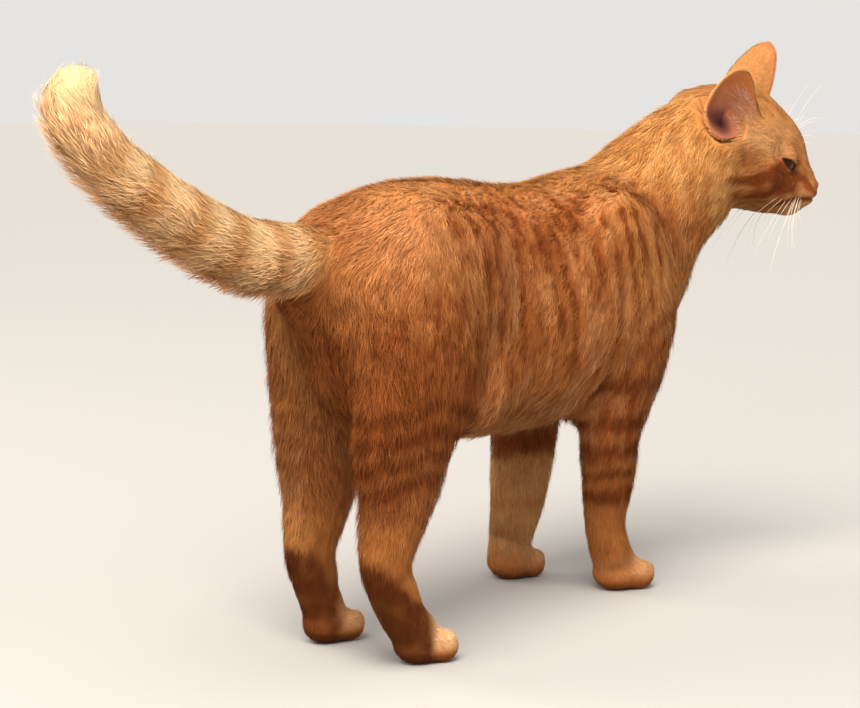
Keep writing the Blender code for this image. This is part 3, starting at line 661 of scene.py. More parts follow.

# %% [markdown]
# ## Stripes of the body
# On the flank the stripes stand upright and break into dashes. A sine wave
# along the body gives their spacing, and noise stretched upwards breaks it.
# Painted shade goes in with them: in the flank's dark patches, which are partly
# mottle, in the crease behind the shoulder, and low on the body.

# %% Stripes of the trunk, the shoulder and the back
def flank_stripes_and_shade(at):
    """Upright streaks, a wave along x bent by noise, over a broken mottle,
    with dark patches high up before the thigh, mid flank and behind the
    shoulder that are partly mottle and partly painted shade."""
    x, y, z = at.x, at.y, at.z
    wave = np.sin(2 * math.pi * (x + 0.10 * (z - 0.2) + 0.0065 * at.wide + 0.003 * at.fine) / 0.0160)
    high = ramp(z, 0.175, 0.225)
    flank = ramp(0.85 * at.streak + 0.60 * wave + 0.4 * at.small, 0.02, 0.72) * (0.66 + 0.34 * high)
    flank *= ramp(z, 0.120, 0.17) * (1 - 0.5 * ramp(z, 0.258, 0.275)) * ramp(np.abs(y), 0.012, 0.035)
    flank *= ramp(x, -0.135, -0.09) * (1 - ramp(x, 0.10, 0.14))
    # Dark patches before the thigh, mid flank and behind the shoulder: partly mottle, partly painted shade
    blotch_and_shade = bump(np.hypot(x + 0.060, (z - 0.222) * 0.8), 0.030)
    blotch_and_shade += bump(np.hypot(x + 0.012, z - 0.232), 0.024)
    blotch_and_shade += 0.8 * bump(np.hypot(x - 0.030, (z - 0.225) * 0.6), 0.020)
    blotch_and_shade *= ramp(at.streak + 0.6 * at.small + 0.4 * at.fine, -0.9, 0.6)
    return at.body * (0.07 + 1.04 * flank + 0.55 * blotch_and_shade * ramp(np.abs(y), 0.02, 0.04))


def shoulder_stripes_and_shade(at):
    """Painted shade low on the body, a dark crease behind the shoulder that is
    partly painted shade, rings round a point on the upper arm, a necklace in
    front of the shoulder and a streaked neck."""
    x, y, z = at.x, at.y, at.z
    # A stripe in the crease behind the shoulder, partly painted shade
    crease = bump(x - 0.056 - 0.06 * (z - 0.2) + 0.002 * at.fine, 0.0042) * ramp(z, 0.135, 0.16)
    # Painted shade low on the body, darker towards the belly
    stripe = at.body * 0.20 * ramp(0.150 - z, 0, 0.02)
    stripe += at.body * 0.75 * crease * (1 - ramp(z, 0.215, 0.245)) * ramp(np.abs(y), 0.02, 0.03)
    arc = np.hypot(x - 0.118, (z - 0.118) * 0.9) + 0.0035 * at.wide + 0.0015 * at.fine
    arcs = ramp(np.sin(2 * math.pi * arc / 0.0135) + 0.5 * at.fine, 0.1, 0.9) * bump(arc - 0.045, 0.026)
    stripe += (at.name == "arm") * 0.75 * arcs * ramp(np.abs(y), 0.022, 0.034) * (z < 0.205)
    collar = bump(x - 0.112 - 0.8 * (0.25 - z) + 0.004 * at.fine, 0.008) * ramp(z, 0.20, 0.225)
    stripe += (at.name == "neck") * 0.30 * ramp(at.streak, -0.5, 0.8)
    return stripe + at.body * 0.60 * collar * (1 - ramp(z, 0.262, 0.275))


def back_line(at):
    """A line down the middle of the back, and one on top of the tail's root."""
    x, y = at.x, at.y
    back = bump(y + 0.003 * at.fine, 0.013) * ramp(at.normals[:, 2], 0.3, 0.8) * (1 - ramp(x, 0.06, 0.12))
    on_tail = bump(y + 0.012, 0.010) * ramp(at.normals[:, 2], 0.5, 0.9)
    on_tail *= ramp(x, -0.30, -0.26) * (1 - ramp(x, -0.235, -0.215))
    return at.body * 0.35 * back + at.is_tail * 0.50 * on_tail


print("mean stripe of the flank:", mean_of(flank_stripes_and_shade(skin_at)))
print("mean stripe of the shoulder:", mean_of(shoulder_stripes_and_shade(skin_at)))

# %% [markdown]
# ## Bars of the legs
# The legs are barred across. A bar is a bell round one height, and a little
# noise added to the height keeps it from being a straight line. The thighs also
# get painted shade: in the gaps between locks over the hip, between and inside
# the thighs, under the tail, on the middle of the thigh and on the right thigh.

# %% Stripes of the legs
def thigh_stripes_and_shade(at):
    """Slanting bars low down, and painted shade in the gaps between locks over
    the hip, in the cleft between the thighs, under the tail, on the middle of
    the thigh, on the right thigh and on the inside. Returns the stripes with
    the painted shade, and the bars again as a share of dark."""
    x, y, z, low_thigh, small = at.x, at.y, at.z, at.low_thigh, at.small
    either = at.thigh | at.body
    slant = z + 0.25 * (np.abs(x + 0.150) - 0.02) + 0.004 * at.wide + 0.0015 * at.fine
    bars = sum(bump(slant - height, 0.0040) for height in THIGH_BARS) * np.where(at.side == LEFT, 0.35, 1.0)
    outer = ramp(np.abs(y), 0.022, 0.036)
    stripe = low_thigh * 1.05 * bars * outer * (0.85 + 0.4 * at.fine)
    # Painted shade in the gaps between locks over the hip
    over_hip = bump(np.hypot((x + 0.120) / 1.2, z - 0.208), 0.038)
    gaps = noise(at.points * (1.0, 1.0, 0.16), 0.0044, 8) * over_hip
    stripe += either * 0.85 * ramp(gaps, 0.22, 0.5)
    # Painted shade in the cleft between the thighs and under the tail
    cleft = ramp(0.017 - np.abs(y), -0.005, 0.007) * ramp(-x, 0.140, 0.150)
    cleft *= ramp(z, 0.11, 0.13) * (z < 0.222)
    stripe += either * (0.42 * cleft + 0.20 * ramp(-x, 0.155, 0.170) * ramp(0.225 - z, 0, 0.015))
    # Painted shade on the middle of the thigh, and on the upper right thigh
    middle = bump(np.hypot((x + 0.147) / 1.2, (z - 0.190) / 1.3), 0.030) * ramp(np.abs(y), 0.03, 0.05)
    stripe += either * 0.52 * middle * (1 + 0.8 * small)
    stripe += at.thigh * (at.side == RIGHT) * 0.24 * (1 + 0.9 * small) * ramp(z, 0.145, 0.165)
    # Painted shade on the inside of the thighs
    inside = ramp(0.032 - np.abs(y), -0.004, 0.010) * (low_thigh & (z < 0.19))
    stripe += 0.12 * inside * ramp(0.6 - at.normals[:, 0], 0, 0.5)
    return stripe, 0.55 * low_thigh * bars * (1 + 0.6 * small) * outer


def fore_stripes(at):
    """Several bars on the right fore leg and one broad band on the left one.
    Returns the stripes, and the bars again as a share of dark."""
    upper = np.isin(at.name, ("arm", "forearm"))
    right, left = upper & (at.side == RIGHT), upper & (at.side == LEFT)
    level = at.z + 0.0025 * at.wide + 0.0015 * at.fine
    bars = sum(bump(level - height, half) for height, half in RIGHT_FORE_BARS)
    behind_shin = ramp(0.075 + 0.028 * (0.13 - at.z) / 0.1 - at.x, -0.03, 0.0)
    stripe = 1.15 * right * bars * (0.80 + 0.45 * at.fine + 0.35 * at.small) * behind_shin
    stripe += left * (1.0 * bump(level - 0.0925, 0.0085) + 0.25 * bump(level - 0.052, 0.004))
    return stripe, 0.62 * right * bars * (0.9 + 0.8 * at.small)


def leg_shade(at):
    """Painted shade that darkens the legs downwards, less on the left legs,
    which are painted as lit from the left, and more on the right fore leg.
    """
    shade = np.where(at.name == "forearm", 0.42, 0.46) * ramp(0.215 - at.z, 0, 0.06)
    shade *= (at.thigh | at.is_leg | (at.name == "arm")) * ramp(at.z, 0.018, 0.034)
    left, right_foot = at.side == LEFT, (at.name == "foot") & (at.side == RIGHT)
    shade *= 1 - 0.8 * (left & (at.x > 0)) - 0.20 * (left & (at.x < 0)) - 0.6 * right_foot
    right_fore = np.isin(at.name, ("arm", "forearm")) & (at.side == RIGHT)
    return shade + 0.12 * (right_fore & (at.z > 0.045))


print("mean stripe of the thighs:", mean_of(thigh_stripes_and_shade(skin_at)[0]))
print("mean stripe of the fore legs:", mean_of(fore_stripes(skin_at)[0]))

# %% [markdown]
# ## Tail and face
# The rings are bells round shares of the way down the tail. The lines of the
# face are drawn as they run seen from the side, so both cheeks have the same.

# %% Rings of the tail and stripes of the face
def tail_rings(at):
    """The rings, which lean with the hair, and the share down the tail."""
    _, _, down = near_line(at.points, through(TAIL_LINE, 6))
    lean = down + 0.010 * at.wide
    return sum(bump(lean - share, 0.030) for share in TAIL_RINGS), down


def cheek_lines(at):
    """Two stripes on each cheek and the line from the eye to the nose."""
    upper, lower, tear = (near_line(at.seen_from_side, line)[0] for line in (
        through(np.array(CHEEK_UPPER), 4), through(np.array(CHEEK_LOWER), 4), TEAR_LINE))
    return ((1.3 + 0.4 * at.small) * bump(upper, 0.0030) + (0.75 + 0.6 * at.fine) * bump(lower, 0.0030)
            + (0.62 + 0.35 * at.small) * bump(tear, 0.0027))


def under_eye_patch(at):
    patch = bump(np.hypot((at.folded[:, 0] - 0.0215) / 1.7, at.folded[:, 2] + 0.0150), 0.0062)
    return patch * (0.75 + 0.8 * at.small) * at.is_head * ramp(np.abs(at.head[:, 1]), 0.010, 0.018)


def face_stripes(at, cheeks, under_eye):
    """Stripes on the cheeks, a brown lower face and fine lines up the forehead."""
    forward, aside, up = at.head.T
    is_head = at.is_head
    stripe = (is_head | (at.name == "neck")) * cheeks * (0.85 + 0.25 * at.fine)
    stripe *= ramp(np.abs(aside), 0.004, 0.009)
    stripe += 0.9 * under_eye + 0.05 * is_head * ramp(-up, 0.020, 0.026) * ramp(0.034 - forward, 0, 0.012)
    lower = 1 + 0.5 * ramp(0.036 - forward, 0, 0.01) - 0.6 * ramp(-0.020 - up, 0, 0.008)
    stripe += (0.30 + 0.15 * at.fine) * is_head * ramp(0.006 - up, 0, 0.012) * lower
    brow = np.sin(2 * math.pi * (aside + 0.0012 * at.fine) / 0.0105) * ramp(up, 0.018, 0.03)
    brow = ramp(brow, 0.1, 0.9) * ramp(0.03 - np.abs(aside), 0, 0.01)
    return stripe + is_head * 0.21 * (1 + at.small) + is_head * 0.30 * brow


def mouth_line(at):
    lips = near_line(at.seen_from_side, through(MOUTH, 4))[0]
    return at.is_head * 1.1 * bump(lips, 0.0013) * (1 - 0.5 * ramp(at.head[:, 0], 0.044, 0.052))


print("mean of the tail's rings:", mean_of(tail_rings(skin_at)[0] * skin_at.is_tail))

# %% [markdown]
# ## Ground colours
# Under the stripes the coat runs from gold on the head and the back to cream
# on the tail, the chin and the toes, and the hind feet are dark behind. The
# back edge of the left hind leg and the left fore leg are paler and golder with
# painted light from the left; the feet are darker low down with painted shade by
# the floor, and the clefts between the toes hold painted shade.

# %% Pale, golden and dark places
TOE_CLEFTS = (-0.0062, 0.0, 0.0062)        # beside the paw's middle
PATCH_WAY = (0.588, -0.809)                # across the borders of the hind feet's patches


def left_foreleg(at):
    return np.isin(at.name, ("forearm", "paw")) & (at.side == LEFT) & (at.x > 0)


def rim_lit_rear_edge(at):
    """The back edge of the left hind leg, long-haired and lighter with painted rim light."""
    return ramp(-at.normals[:, 0], 0.55, 0.95) * (at.low_thigh & (at.side == LEFT))


def toes_start(at):
    return by_paw(at, 0.100, 0.088, -0.131, -0.125)


def pale_body_and_painted_light(at, stripe, rings, down):
    """Cream tail between its rings, pale rump, belly, leg edges and toes, with
    painted rim light on the left hind leg's back edge and partly painted light
    on the left fore leg.
    """
    x, z, paw = at.x, at.z, at.paw
    pale = at.is_tail * (0.10 + 0.90 * ramp(down, 0.04, 0.28)) * (1 - 0.78 * rings.clip(0, 1) * (
        1 - ramp(down, 0.7, 1)))
    pale += 0.17 * (at.thigh | at.body) * bump(np.hypot((x + 0.138) / 1.2, z - 0.243), 0.042)
    pale += 0.16 * (at.body | (at.name == "arm")) * ramp(-at.streak, -0.2, 0.8) * ramp(x, -0.12, -0.08)
    # Painted rim light on the back edge of the left hind leg
    pale += 0.06 * rim_lit_rear_edge(at) * (z > 0.065)
    # The left fore leg paler, partly painted light from the left
    pale += 0.20 * left_foreleg(at) * ramp(0.6 - stripe, 0, 0.5) * ramp(z, 0.012, 0.030)
    pale += 0.30 * (at.name == "forearm") * (at.side == RIGHT) * ramp(at.normals[:, 0], 0.3, 0.8)
    pale += 0.55 * at.is_tail * ramp(down, 0.86, 0.97)
    pale += at.body * 0.16 * ramp(0.150 - z, 0, 0.030) * ramp(-at.normals[:, 2], -0.4, 0.5)
    on_toes = ramp(x - toes_start(at) + 0.003 * at.fine, -0.016, 0.014)
    pale += paw * by_paw(at, 0.37, 0.37, 0.74, 0.46) * ramp(z, 0.005, 0.012) * on_toes
    return pale + 0.10 * paw * (x > 0) * ramp(z, 0.008, 0.014)


def toe_cleft_shade_and_brown(at):
    """Painted shade in the clefts between the toes, and a browner paw."""
    along = at.y - by_paw(at, -0.033, 0.044, -0.038, 0.0365)
    # Painted shade in the furrows between the toes
    clefts = sum(bump(along - cleft, 0.0012) for cleft in TOE_CLEFTS)
    clefts = clefts * ramp(at.x - toes_start(at), 0.004, 0.012)
    return at.paw * (0.6 * clefts + 0.16 * (at.x > 0) + 0.06 * ((at.x < 0) & (at.side == LEFT)))


def pale_face(at):
    """Pale chin, muzzle, brow spots and the place before each ear."""
    forward, _, up = at.head.T
    pale = 0.45 * ramp(-0.022 - up, 0, 0.008) * ramp(forward, 0.030, 0.042)
    pale += 0.42 * bump(np.hypot(forward - 0.0425, up + 0.0180), 0.0055)
    pale += 0.20 * bump(np.linalg.norm(at.folded - (0.0150, -0.0230, 0.0120), axis=1), 0.0130)
    pale += 0.08 + 0.32 * bump(np.hypot((at.folded[:, 0] + 0.004) / 1.6, at.folded[:, 2] - 0.008), 0.0095)
    return at.is_head * pale


def golden_and_rim_light(at):
    """Gold on head, neck and tail, along the back and on the legs, with painted
    rim light on the left hind leg's back edge and partly painted light on the
    left fore leg.
    """
    neck, z = at.name == "neck", at.z
    gold = (at.is_head | neck) * (0.75 + 0.2 * at.wide) + 0.2 * neck
    gold += at.body * 0.45 * ramp(z, 0.252, 0.272) + 0.22 * (at.body & (at.x > 0.05))
    gold += 0.30 * (at.name == "arm")
    # The left fore leg golder, partly painted light from the left
    gold += 0.40 * left_foreleg(at) * ramp(z, 0.010, 0.034) + 0.35 * (at.is_leg & (z > 0.03))
    # The last term is painted rim light on the back edge of the left hind leg
    return gold + 0.8 * at.is_tail + 0.24 * (at.thigh & (z > 0.17)) + 0.4 * rim_lit_rear_edge(at)


def dark_feet(at):
    """Dark patches on the hind feet, behind and to the left of a slanting
    border and below the hock, painted shade low on the feet where they meet
    the floor, and a spot on the left wrist."""
    x, z = at.x, at.z
    foot = np.isin(at.name, ("shank", "foot", "paw")) & (x < -0.05)
    hock = np.where(at.side == RIGHT, 0.0655, 0.0605)
    across = PATCH_WAY[0] * x + PATCH_WAY[1] * at.y
    border = np.where(at.side == RIGHT, -0.0625 + 0.80 * (0.062 - z), -0.1030 + 0.45 * (0.056 - z))
    behind = np.minimum(border - across, toes_start(at) - x)
    edge = ramp(hock - z + 0.0030 * at.fine + 0.0010 * at.small, -0.0030, 0.0030)
    edge *= ramp(behind + 0.003 * at.fine, -0.005, 0.006)
    wrist = (at.name == "forearm") & (at.side == LEFT)
    # The second and third terms are painted shade low on the feet, by the floor
    return (foot * edge * (0.98 + 0.25 * at.fine) + 0.75 * foot * ramp(0.0085 - z, 0, 0.005)
            + 0.55 * at.paw * (x > 0) * ramp(0.008 - z, 0, 0.005)
            + 0.50 * wrist * bump(np.hypot(x - 0.073, z - 0.030), 0.010))


print("mean of gold and dark:", mean_of(golden_and_rim_light(skin_at)), mean_of(dark_feet(skin_at)))

# %% [markdown]
# ## All marks together
# Skin and hair both ask this one function, ring by ring for a hair, so that a
# mark keeps a soft but clear edge. Besides the coat's own marks it gives painted
# shade and painted light. The legs' painted shade comes after the stripes and
# only fills what they leave.

# %% All marks together
def markings_with_painted_light(points, normals):
    """Four shares at each point: stripe, pale, gold and dark. Stripe and dark
    also carry painted shade, pale and gold also painted light.
    """
    at = surveyed(points, normals)
    on_thigh, dark_thigh = thigh_stripes_and_shade(at)
    on_fore, dark_fore = fore_stripes(at)
    rings, down = tail_rings(at)
    cheeks, under_eye = cheek_lines(at), under_eye_patch(at)
    stripe = flank_stripes_and_shade(at) + shoulder_stripes_and_shade(at) + back_line(at) + on_thigh + on_fore
    stripe += at.is_tail * rings * (0.11 + 0.05 * at.fine) * (1 - 0.6 * ramp(down, 0.5, 1.0))
    stripe += at.is_tail * 0.22 * ramp(0.12 - down, 0, 0.08)
    stripe += face_stripes(at, cheeks, under_eye)
    stripe += leg_shade(at) * (1 - stripe.clip(0, 1))
    stripe += mouth_line(at)
    pale = pale_body_and_painted_light(at, stripe, rings, down) + pale_face(at)
    stripe += toe_cleft_shade_and_brown(at)
    dark = dark_thigh + dark_fore + dark_feet(at)
    dark += 0.45 * under_eye + 0.30 * ramp(cheeks, 0.4, 1.0) * at.is_head
    return np.clip(np.stack([stripe, pale, golden_and_rim_light(at), dark], axis=1), 0, 1)


skin_marks = markings_with_painted_light(skin_points, skin_normals)
print("mean of stripe, pale, gold, dark:", np.round(skin_marks.mean(axis=0), 3))

# %% [markdown]
# ## The colour of the coat
# One set of nodes turns the four shares into a colour: tawny, then gold, then
# cream, then the stripes with their painted shade, then the dark feet with theirs.
# The hairs multiply it by their own tone, which runs from a dark red root to a
# light tip and differs from tuft to tuft; the dark root and the darker edges of
# locks are partly painted shade deep in the coat. The skin under the coat is the
# same colour darkened by painted shade. A little noise on object coordinates
# keeps any patch from being flat.

# %% Coat material
TAWNY = (0.560, 0.196, 0.053)
GOLD = (0.760, 0.355, 0.108)
CREAM = (0.960, 0.648, 0.350)
# The stripe colour also paints shade in creases, gaps and low places
STRIPE_AND_SHADE = (0.262, 0.069, 0.018)
# The dark colour also paints shade low on the feet by the floor
DARK_AND_SHADE = (0.150, 0.040, 0.011)


def new_material(name):
    material = bpy.data.materials.new(name)
    material.use_nodes = True
    tree = material.node_tree
    return material, tree, tree.nodes["Principled BSDF"]


def attribute(tree, name):
    node = tree.nodes.new("ShaderNodeAttribute")
    node.attribute_name = name
    return node


def mixed(tree, share, first, second, mode="MIX"):
    """A colour mix; each input is a socket or a plain value."""
    node = tree.nodes.new("ShaderNodeMix")
    node.data_type = "RGBA"
    node.blend_type = mode
    node.clamp_factor = True
    for socket, value in ((node.inputs[0], share), (node.inputs[6], first), (node.inputs[7], second)):
        if isinstance(value, bpy.types.NodeSocket):
            tree.links.new(value, socket)
        elif isinstance(value, tuple):
            socket.default_value = (*value, 1.0)
        else:
            socket.default_value = value
    return node.outputs[2]


def noise_node(tree, scale, detail=2.0):
    place = tree.nodes.new("ShaderNodeTexCoord")
    node = tree.nodes.new("ShaderNodeTexNoise")
    node.inputs["Scale"].default_value = scale
    node.inputs["Detail"].default_value = detail
    tree.links.new(place.outputs["Object"], node.inputs["Vector"])
    return node.outputs["Fac"]


def coat_colour(tree):
    """The colour that the four shares give, with a little noise in it."""
    shares = tree.nodes.new("ShaderNodeSeparateColor")
    marks_and_painted_light = attribute(tree, "marks_and_painted_light")
    tree.links.new(marks_and_painted_light.outputs["Color"], shares.inputs["Color"])
    colour = mixed(tree, shares.outputs["Blue"], TAWNY, GOLD)
    colour = mixed(tree, shares.outputs["Green"], colour, CREAM)
    colour = mixed(tree, shares.outputs["Red"], colour, STRIPE_AND_SHADE)
    colour = mixed(tree, marks_and_painted_light.outputs["Alpha"], colour, DARK_AND_SHADE)
    tint = mixed(tree, noise_node(tree, 140.0), (0.86, 0.84, 0.80), (1.12, 1.13, 1.16))
    return mixed(tree, 1.0, colour, tint, "MULTIPLY")


def set_gloss(shader, roughness, specular):
    shader.inputs["Roughness"].default_value = roughness
    shader.inputs["Specular IOR Level"].default_value = specular


def set_relief(tree, shader, height, strength, distance):
    """Bumps a surface by a height, a socket, times the distance."""
    relief = tree.nodes.new("ShaderNodeBump")
    relief.inputs["Strength"].default_value = strength
    relief.inputs["Distance"].default_value = distance
    tree.links.new(height, relief.inputs["Height"])
    tree.links.new(relief.outputs["Normal"], shader.inputs["Normal"])


LIGHT_THROUGH = 0.22        # share of light that a tuft lets through
hair, tree, shader = new_material("tabby_hair")
tone = attribute(tree, "tone")
colour = mixed(tree, 1.0, coat_colour(tree), tone.outputs["Color"], "MULTIPLY")
tree.links.new(colour, shader.inputs["Base Color"])
glow, both = tree.nodes.new("ShaderNodeBsdfTranslucent"), tree.nodes.new("ShaderNodeMixShader")
both.inputs["Fac"].default_value = LIGHT_THROUGH
tree.links.new(colour, glow.inputs["Color"])
tree.links.new(shader.outputs["BSDF"], both.inputs[1])
tree.links.new(glow.outputs["BSDF"], both.inputs[2])
tree.links.new(both.outputs["Shader"], tree.nodes["Material Output"].inputs["Surface"])
set_gloss(shader, 0.62, 0.0)

hide, tree, shader = new_material("skin_under_coat")
# The skin is the coat's colour darkened and reddened: painted shade under the hair
shaded_under_hair = mixed(tree, 1.0, coat_colour(tree), (0.80, 0.72, 0.66), "MULTIPLY")
tree.links.new(shaded_under_hair, shader.inputs["Base Color"])
set_gloss(shader, 0.80, 0.10)
set_relief(tree, shader, noise_node(tree, 900.0, 3.0), 0.5, 0.0006)

point_values(skin, "marks_and_painted_light", skin_marks)
skin.data.materials.clear()
skin.data.materials.append(hide)
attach(skin, "root")
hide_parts(*FLESH)
print("materials:", hair.name, hide.name)

# %% [markdown]
# ## Growing the hair
# A single hair is far too fine, so the coat is made of tufts: thin spindles a
# third to three quarters of a millimetre wide, each the size of a few dozen
# hairs that stick together. A tuft is a root, a ring of three points where it
# is widest and a tip, which makes six triangles. It leaves the skin at its
# root, bends over and follows the body's curve: along the lie of the coat the
# skin falls away by (1 - cos(k s)) / k for a curvature k and a way s along it.
#
# Neighbouring tufts lean towards a shared middle line, which gives the locks
# that show on a cat's neck and thighs. A tuft's root is darker than its tip,
# partly painted shade deep in the coat, and tufts at a lock's edge get painted
# shade between the locks.

# %% Curvature and lie of the coat on the skin
def prepared(points, triangles, edges, lie, measures):
    """All that a tuft needs to know at each point of a surface."""
    normals = normals_of(points, triangles)
    for _ in range(6):
        normals = unit(neighbours_mean(normals, edges))
    lie = lie + measures[:, 4:5] * np.array((0, 0, -1.0)) * np.clip(1 - normals[:, 2:3], 0, 1)
    lie = lie - (lie * normals).sum(axis=1, keepdims=True) * normals
    for _ in range(4):
        lie = neighbours_mean(lie, edges)
    lie = unit(lie - (lie * normals).sum(axis=1, keepdims=True) * normals)
    rise, run = np.zeros(len(points)), np.full(len(points), 1e-9)
    for start, end in ((0, 1), (1, 0)):
        here, there = edges[:, start], edges[:, end]
        step = ((points[there] - points[here]) * lie[here]).sum(axis=1)
        turn = ((normals[there] - normals[here]) * lie[here]).sum(axis=1)
        rise += np.bincount(here, turn * step, len(points))
        run += np.bincount(here, step * step, len(points))
    curve = (rise / run)[:, None]
    for _ in range(6):
        curve = neighbours_mean(curve, edges)
    return {"points": points, "triangles": triangles, "normals": normals, "lie": lie,
            "curve": np.clip(curve, -60, 160), "measures": measures}


def pick_roots(surface, count, density, rng):
    """Random places on the triangles, more where the density is higher, and
    the mean of the corner values there."""
    triangles = surface["triangles"]
    a, b, c = (surface["points"][triangles[:, k]] for k in range(3))
    area = np.linalg.norm(np.cross(b - a, c - a), axis=1) / 2
    weight = np.cumsum(area * density[triangles].mean(axis=1))
    chosen = np.searchsorted(weight, rng.uniform(0, weight[-1], count))
    u, v = rng.uniform(0, 1, count), rng.uniform(0, 1, count)
    flip = u + v > 1
    u[flip], v[flip] = 1 - u[flip], 1 - v[flip]
    shares = np.stack([1 - u - v, u, v], axis=1)[:, :, None]
    picked = {}
    for key in ("points", "normals", "lie", "curve", "measures", "marks_and_painted_light"):
        if key in surface:
            picked[key] = (surface[key][triangles[chosen]] * shares).sum(axis=1)
    picked["normals"] = unit(picked["normals"])
    picked["lie"] = unit(picked["lie"])
    return picked


def lock_of(points, size, seed):
    """Middle of the lock that each point belongs to: one random point stands
    in each cube of this size, and the nearest of the 27 around wins."""
    cell = np.floor(points / size).astype(int)
    best = np.full(len(points), np.inf)
    middle_of = np.zeros_like(points)
    code_of = np.zeros(len(points))
    for step in np.ndindex(3, 3, 3):
        near = cell + step - 1
        keys = (near + 37 * seed) % 32
        jitter = [LATTICE[keys[:, k], keys[:, (k + 1) % 3], keys[:, (k + 2) % 3]] for k in range(3)]
        spot = (near + 0.5 + 0.45 * np.stack(jitter, axis=1)) * size
        gap = np.linalg.norm(points - spot, axis=1)
        closer = gap < best
        best[closer] = gap[closer]
        middle_of[closer] = spot[closer]
        code_of[closer] = jitter[0][closer]
    return middle_of, code_of


ROOT_DEPTH = 0.0004      # a tuft starts this far below the skin
FLOOR_GAP = 0.0003       # no hair goes nearer to the floor than this


def grown_tufts(roots, rng, shape):
    """Points of the tufts, ring by ring from root to tip, their normals and
    tones. In an even coat the normals are the skin's, turned a little round
    each tuft, so that the light falls on the coat and not on single blades.
    shape: length and lift factors, how far locks draw together, their size."""
    count = len(roots["points"])
    depth, length, width = (roots["measures"][:, k] / 1000 for k in range(3))
    loose = roots["measures"][:, 5]
    normal, lie = roots["normals"], roots["lie"]
    swirl = 0.30 * noise(roots["points"], 0.016, 5) + 0.24 * noise(roots["points"], 0.006, 6)
    swirl = (swirl + rng.normal(0, 0.15, count)) * (0.15 + 0.85 * loose)
    side = np.cross(normal, lie)
    lie = unit(lie * np.cos(swirl)[:, None] + side * np.sin(swirl)[:, None])
    side = np.cross(normal, lie)
    lock, code = lock_of(roots["points"], shape["lock"], 3)
    length = length * rng.uniform(0.75, 1.20, count) * shape["length"]
    from_middle = np.clip(np.linalg.norm(roots["points"] - lock, axis=1) / shape["lock"], 0, 1)
    uneven = (rng.normal(0, 0.16, count) + 0.18 * code) * (0.35 + 0.65 * loose)
    reach = depth * np.clip(0.80 + uneven, 0.15, 1.25) * (shape["lift"] + shape.get("free", 0) * (1 - loose))
    reach = reach * (1.0 + loose * (0.12 - 0.60 * from_middle ** 2))
    off_line = ((roots["points"] - lock) * side).sum(axis=1)
    off_line = np.clip(off_line, -shape["lock"], shape["lock"]) * shape["clump"] * loose
    width = width * rng.uniform(0.8, 1.25, count) * shape.get("width", 1.0)
    curve = roots["curve"][:, 0]
    stations = shape["stations"]            # share of the length, height, width
    rings, tones, facing = [], [], []
    turn = rng.uniform(0, 2 * math.pi, count)
    for share, height, wide, tone in stations:
        way = share * length
        bend = np.clip(curve * way, -1.3, 1.3)
        along = way * np.sinc(bend / math.pi)
        fall = way * bend / 2 * np.sinc(bend / (2 * math.pi)) ** 2
        spine = (roots["points"] + along[:, None] * lie + (height * reach - fall)[:, None] * normal
                 - (off_line * share ** 1.5)[:, None] * side)
        if share <= 0.0:
            spine = spine - ROOT_DEPTH * normal
        upright = unit(np.cos(bend)[:, None] * normal + np.sin(bend)[:, None] * lie)
        # Roots darker than tips: partly the hair's own colour, partly painted shade deep in the coat, more in
        # a loose coat
        shade = (1 - (1 - tone) * np.where(tone < 1, 0.60 + 0.65 * loose, 1.0))[:, None]
        if wide == 0.0:
            rings.append(spine[:, None, :])
            facing.append(upright[:, None, :])
            tones.append(np.broadcast_to(shade, (count, 1)))
            continue
        corner = turn[:, None] + 2 * math.pi * np.arange(3) / 3
        flat = (np.cos(corner)[:, :, None] * side[:, None, :] * (wide * width / 2)[:, None, None])
        thick = (np.sin(corner)[:, :, None] * normal[:, None, :] * (wide * width * 0.17)[:, None, None])
        rings.append(spine[:, None, :] + flat + thick)
        facing.append(upright[:, None, :] + 0.55 * np.cos(corner)[:, :, None] * side[:, None, :])
        tones.append(np.broadcast_to(shade, (count, 3)))
    each = 1 + rng.normal(0, 0.05, count) + (rng.normal(0, 0.13, count) + 0.16 * code) * loose
    each = np.clip(each, 0.5, 1.5)
    # Painted shade at the edges of a lock, and a little painted light on its middle
    each = each * (1.0 + loose * (0.08 - 0.30 * from_middle ** 2))
    each = each * (1 + 0.24 * loose * noise(roots["points"] * (1, 1, 0.4), 0.0036, 9))
    points = np.concatenate(rings, axis=1)
    points[:, :, 2] = np.maximum(points[:, :, 2], FLOOR_GAP)
    if not shape.get("even", False):
        return points, None, np.concatenate(tones, axis=1) * each[:, None]
    return points, unit(np.concatenate(facing, axis=1)), np.concatenate(tones, axis=1) * each[:, None]


def tuft_faces(ring_sizes):
    """Triangles of one tuft whose rings have these numbers of points, with
    the faces turned outwards."""
    starts = np.cumsum([0, *ring_sizes])
    faces = []
    for k in range(len(ring_sizes) - 1):
        low, high = starts[k], starts[k + 1]
        for j in range(3):
            n = (j + 1) % 3
            if ring_sizes[k] == 1:
                faces.append((low, high + n, high + j))
            elif ring_sizes[k + 1] == 1:
                faces.append((low + j, low + n, high))
            else:
                faces.append((low + j, low + n, high + n))
                faces.append((low + j, high + n, high + j))
    return np.array(faces)


# Stations: share of the length, height, width and tone; the dark tone at the root is partly painted shade
# deep in the coat
SHORT = ((0.0, 0.0, 0.0, 0.52), (0.38, 0.48, 1.0, 0.94), (1.0, 1.0, 0.0, 1.16))
LONG = ((0.0, 0.0, 0.0, 0.66), (0.28, 0.36, 1.0, 0.88), (0.65, 0.76, 0.75, 1.04), (1.0, 1.0, 0.0, 1.18))

lie, measures, _ = coat_at(skin_points)
pelt = prepared(skin_points, mesh_triangles(skin.data), skin_edges, lie, measures)
print("tallest curvature of the skin:", round(float(pelt["curve"].max()), 1), "per metre")

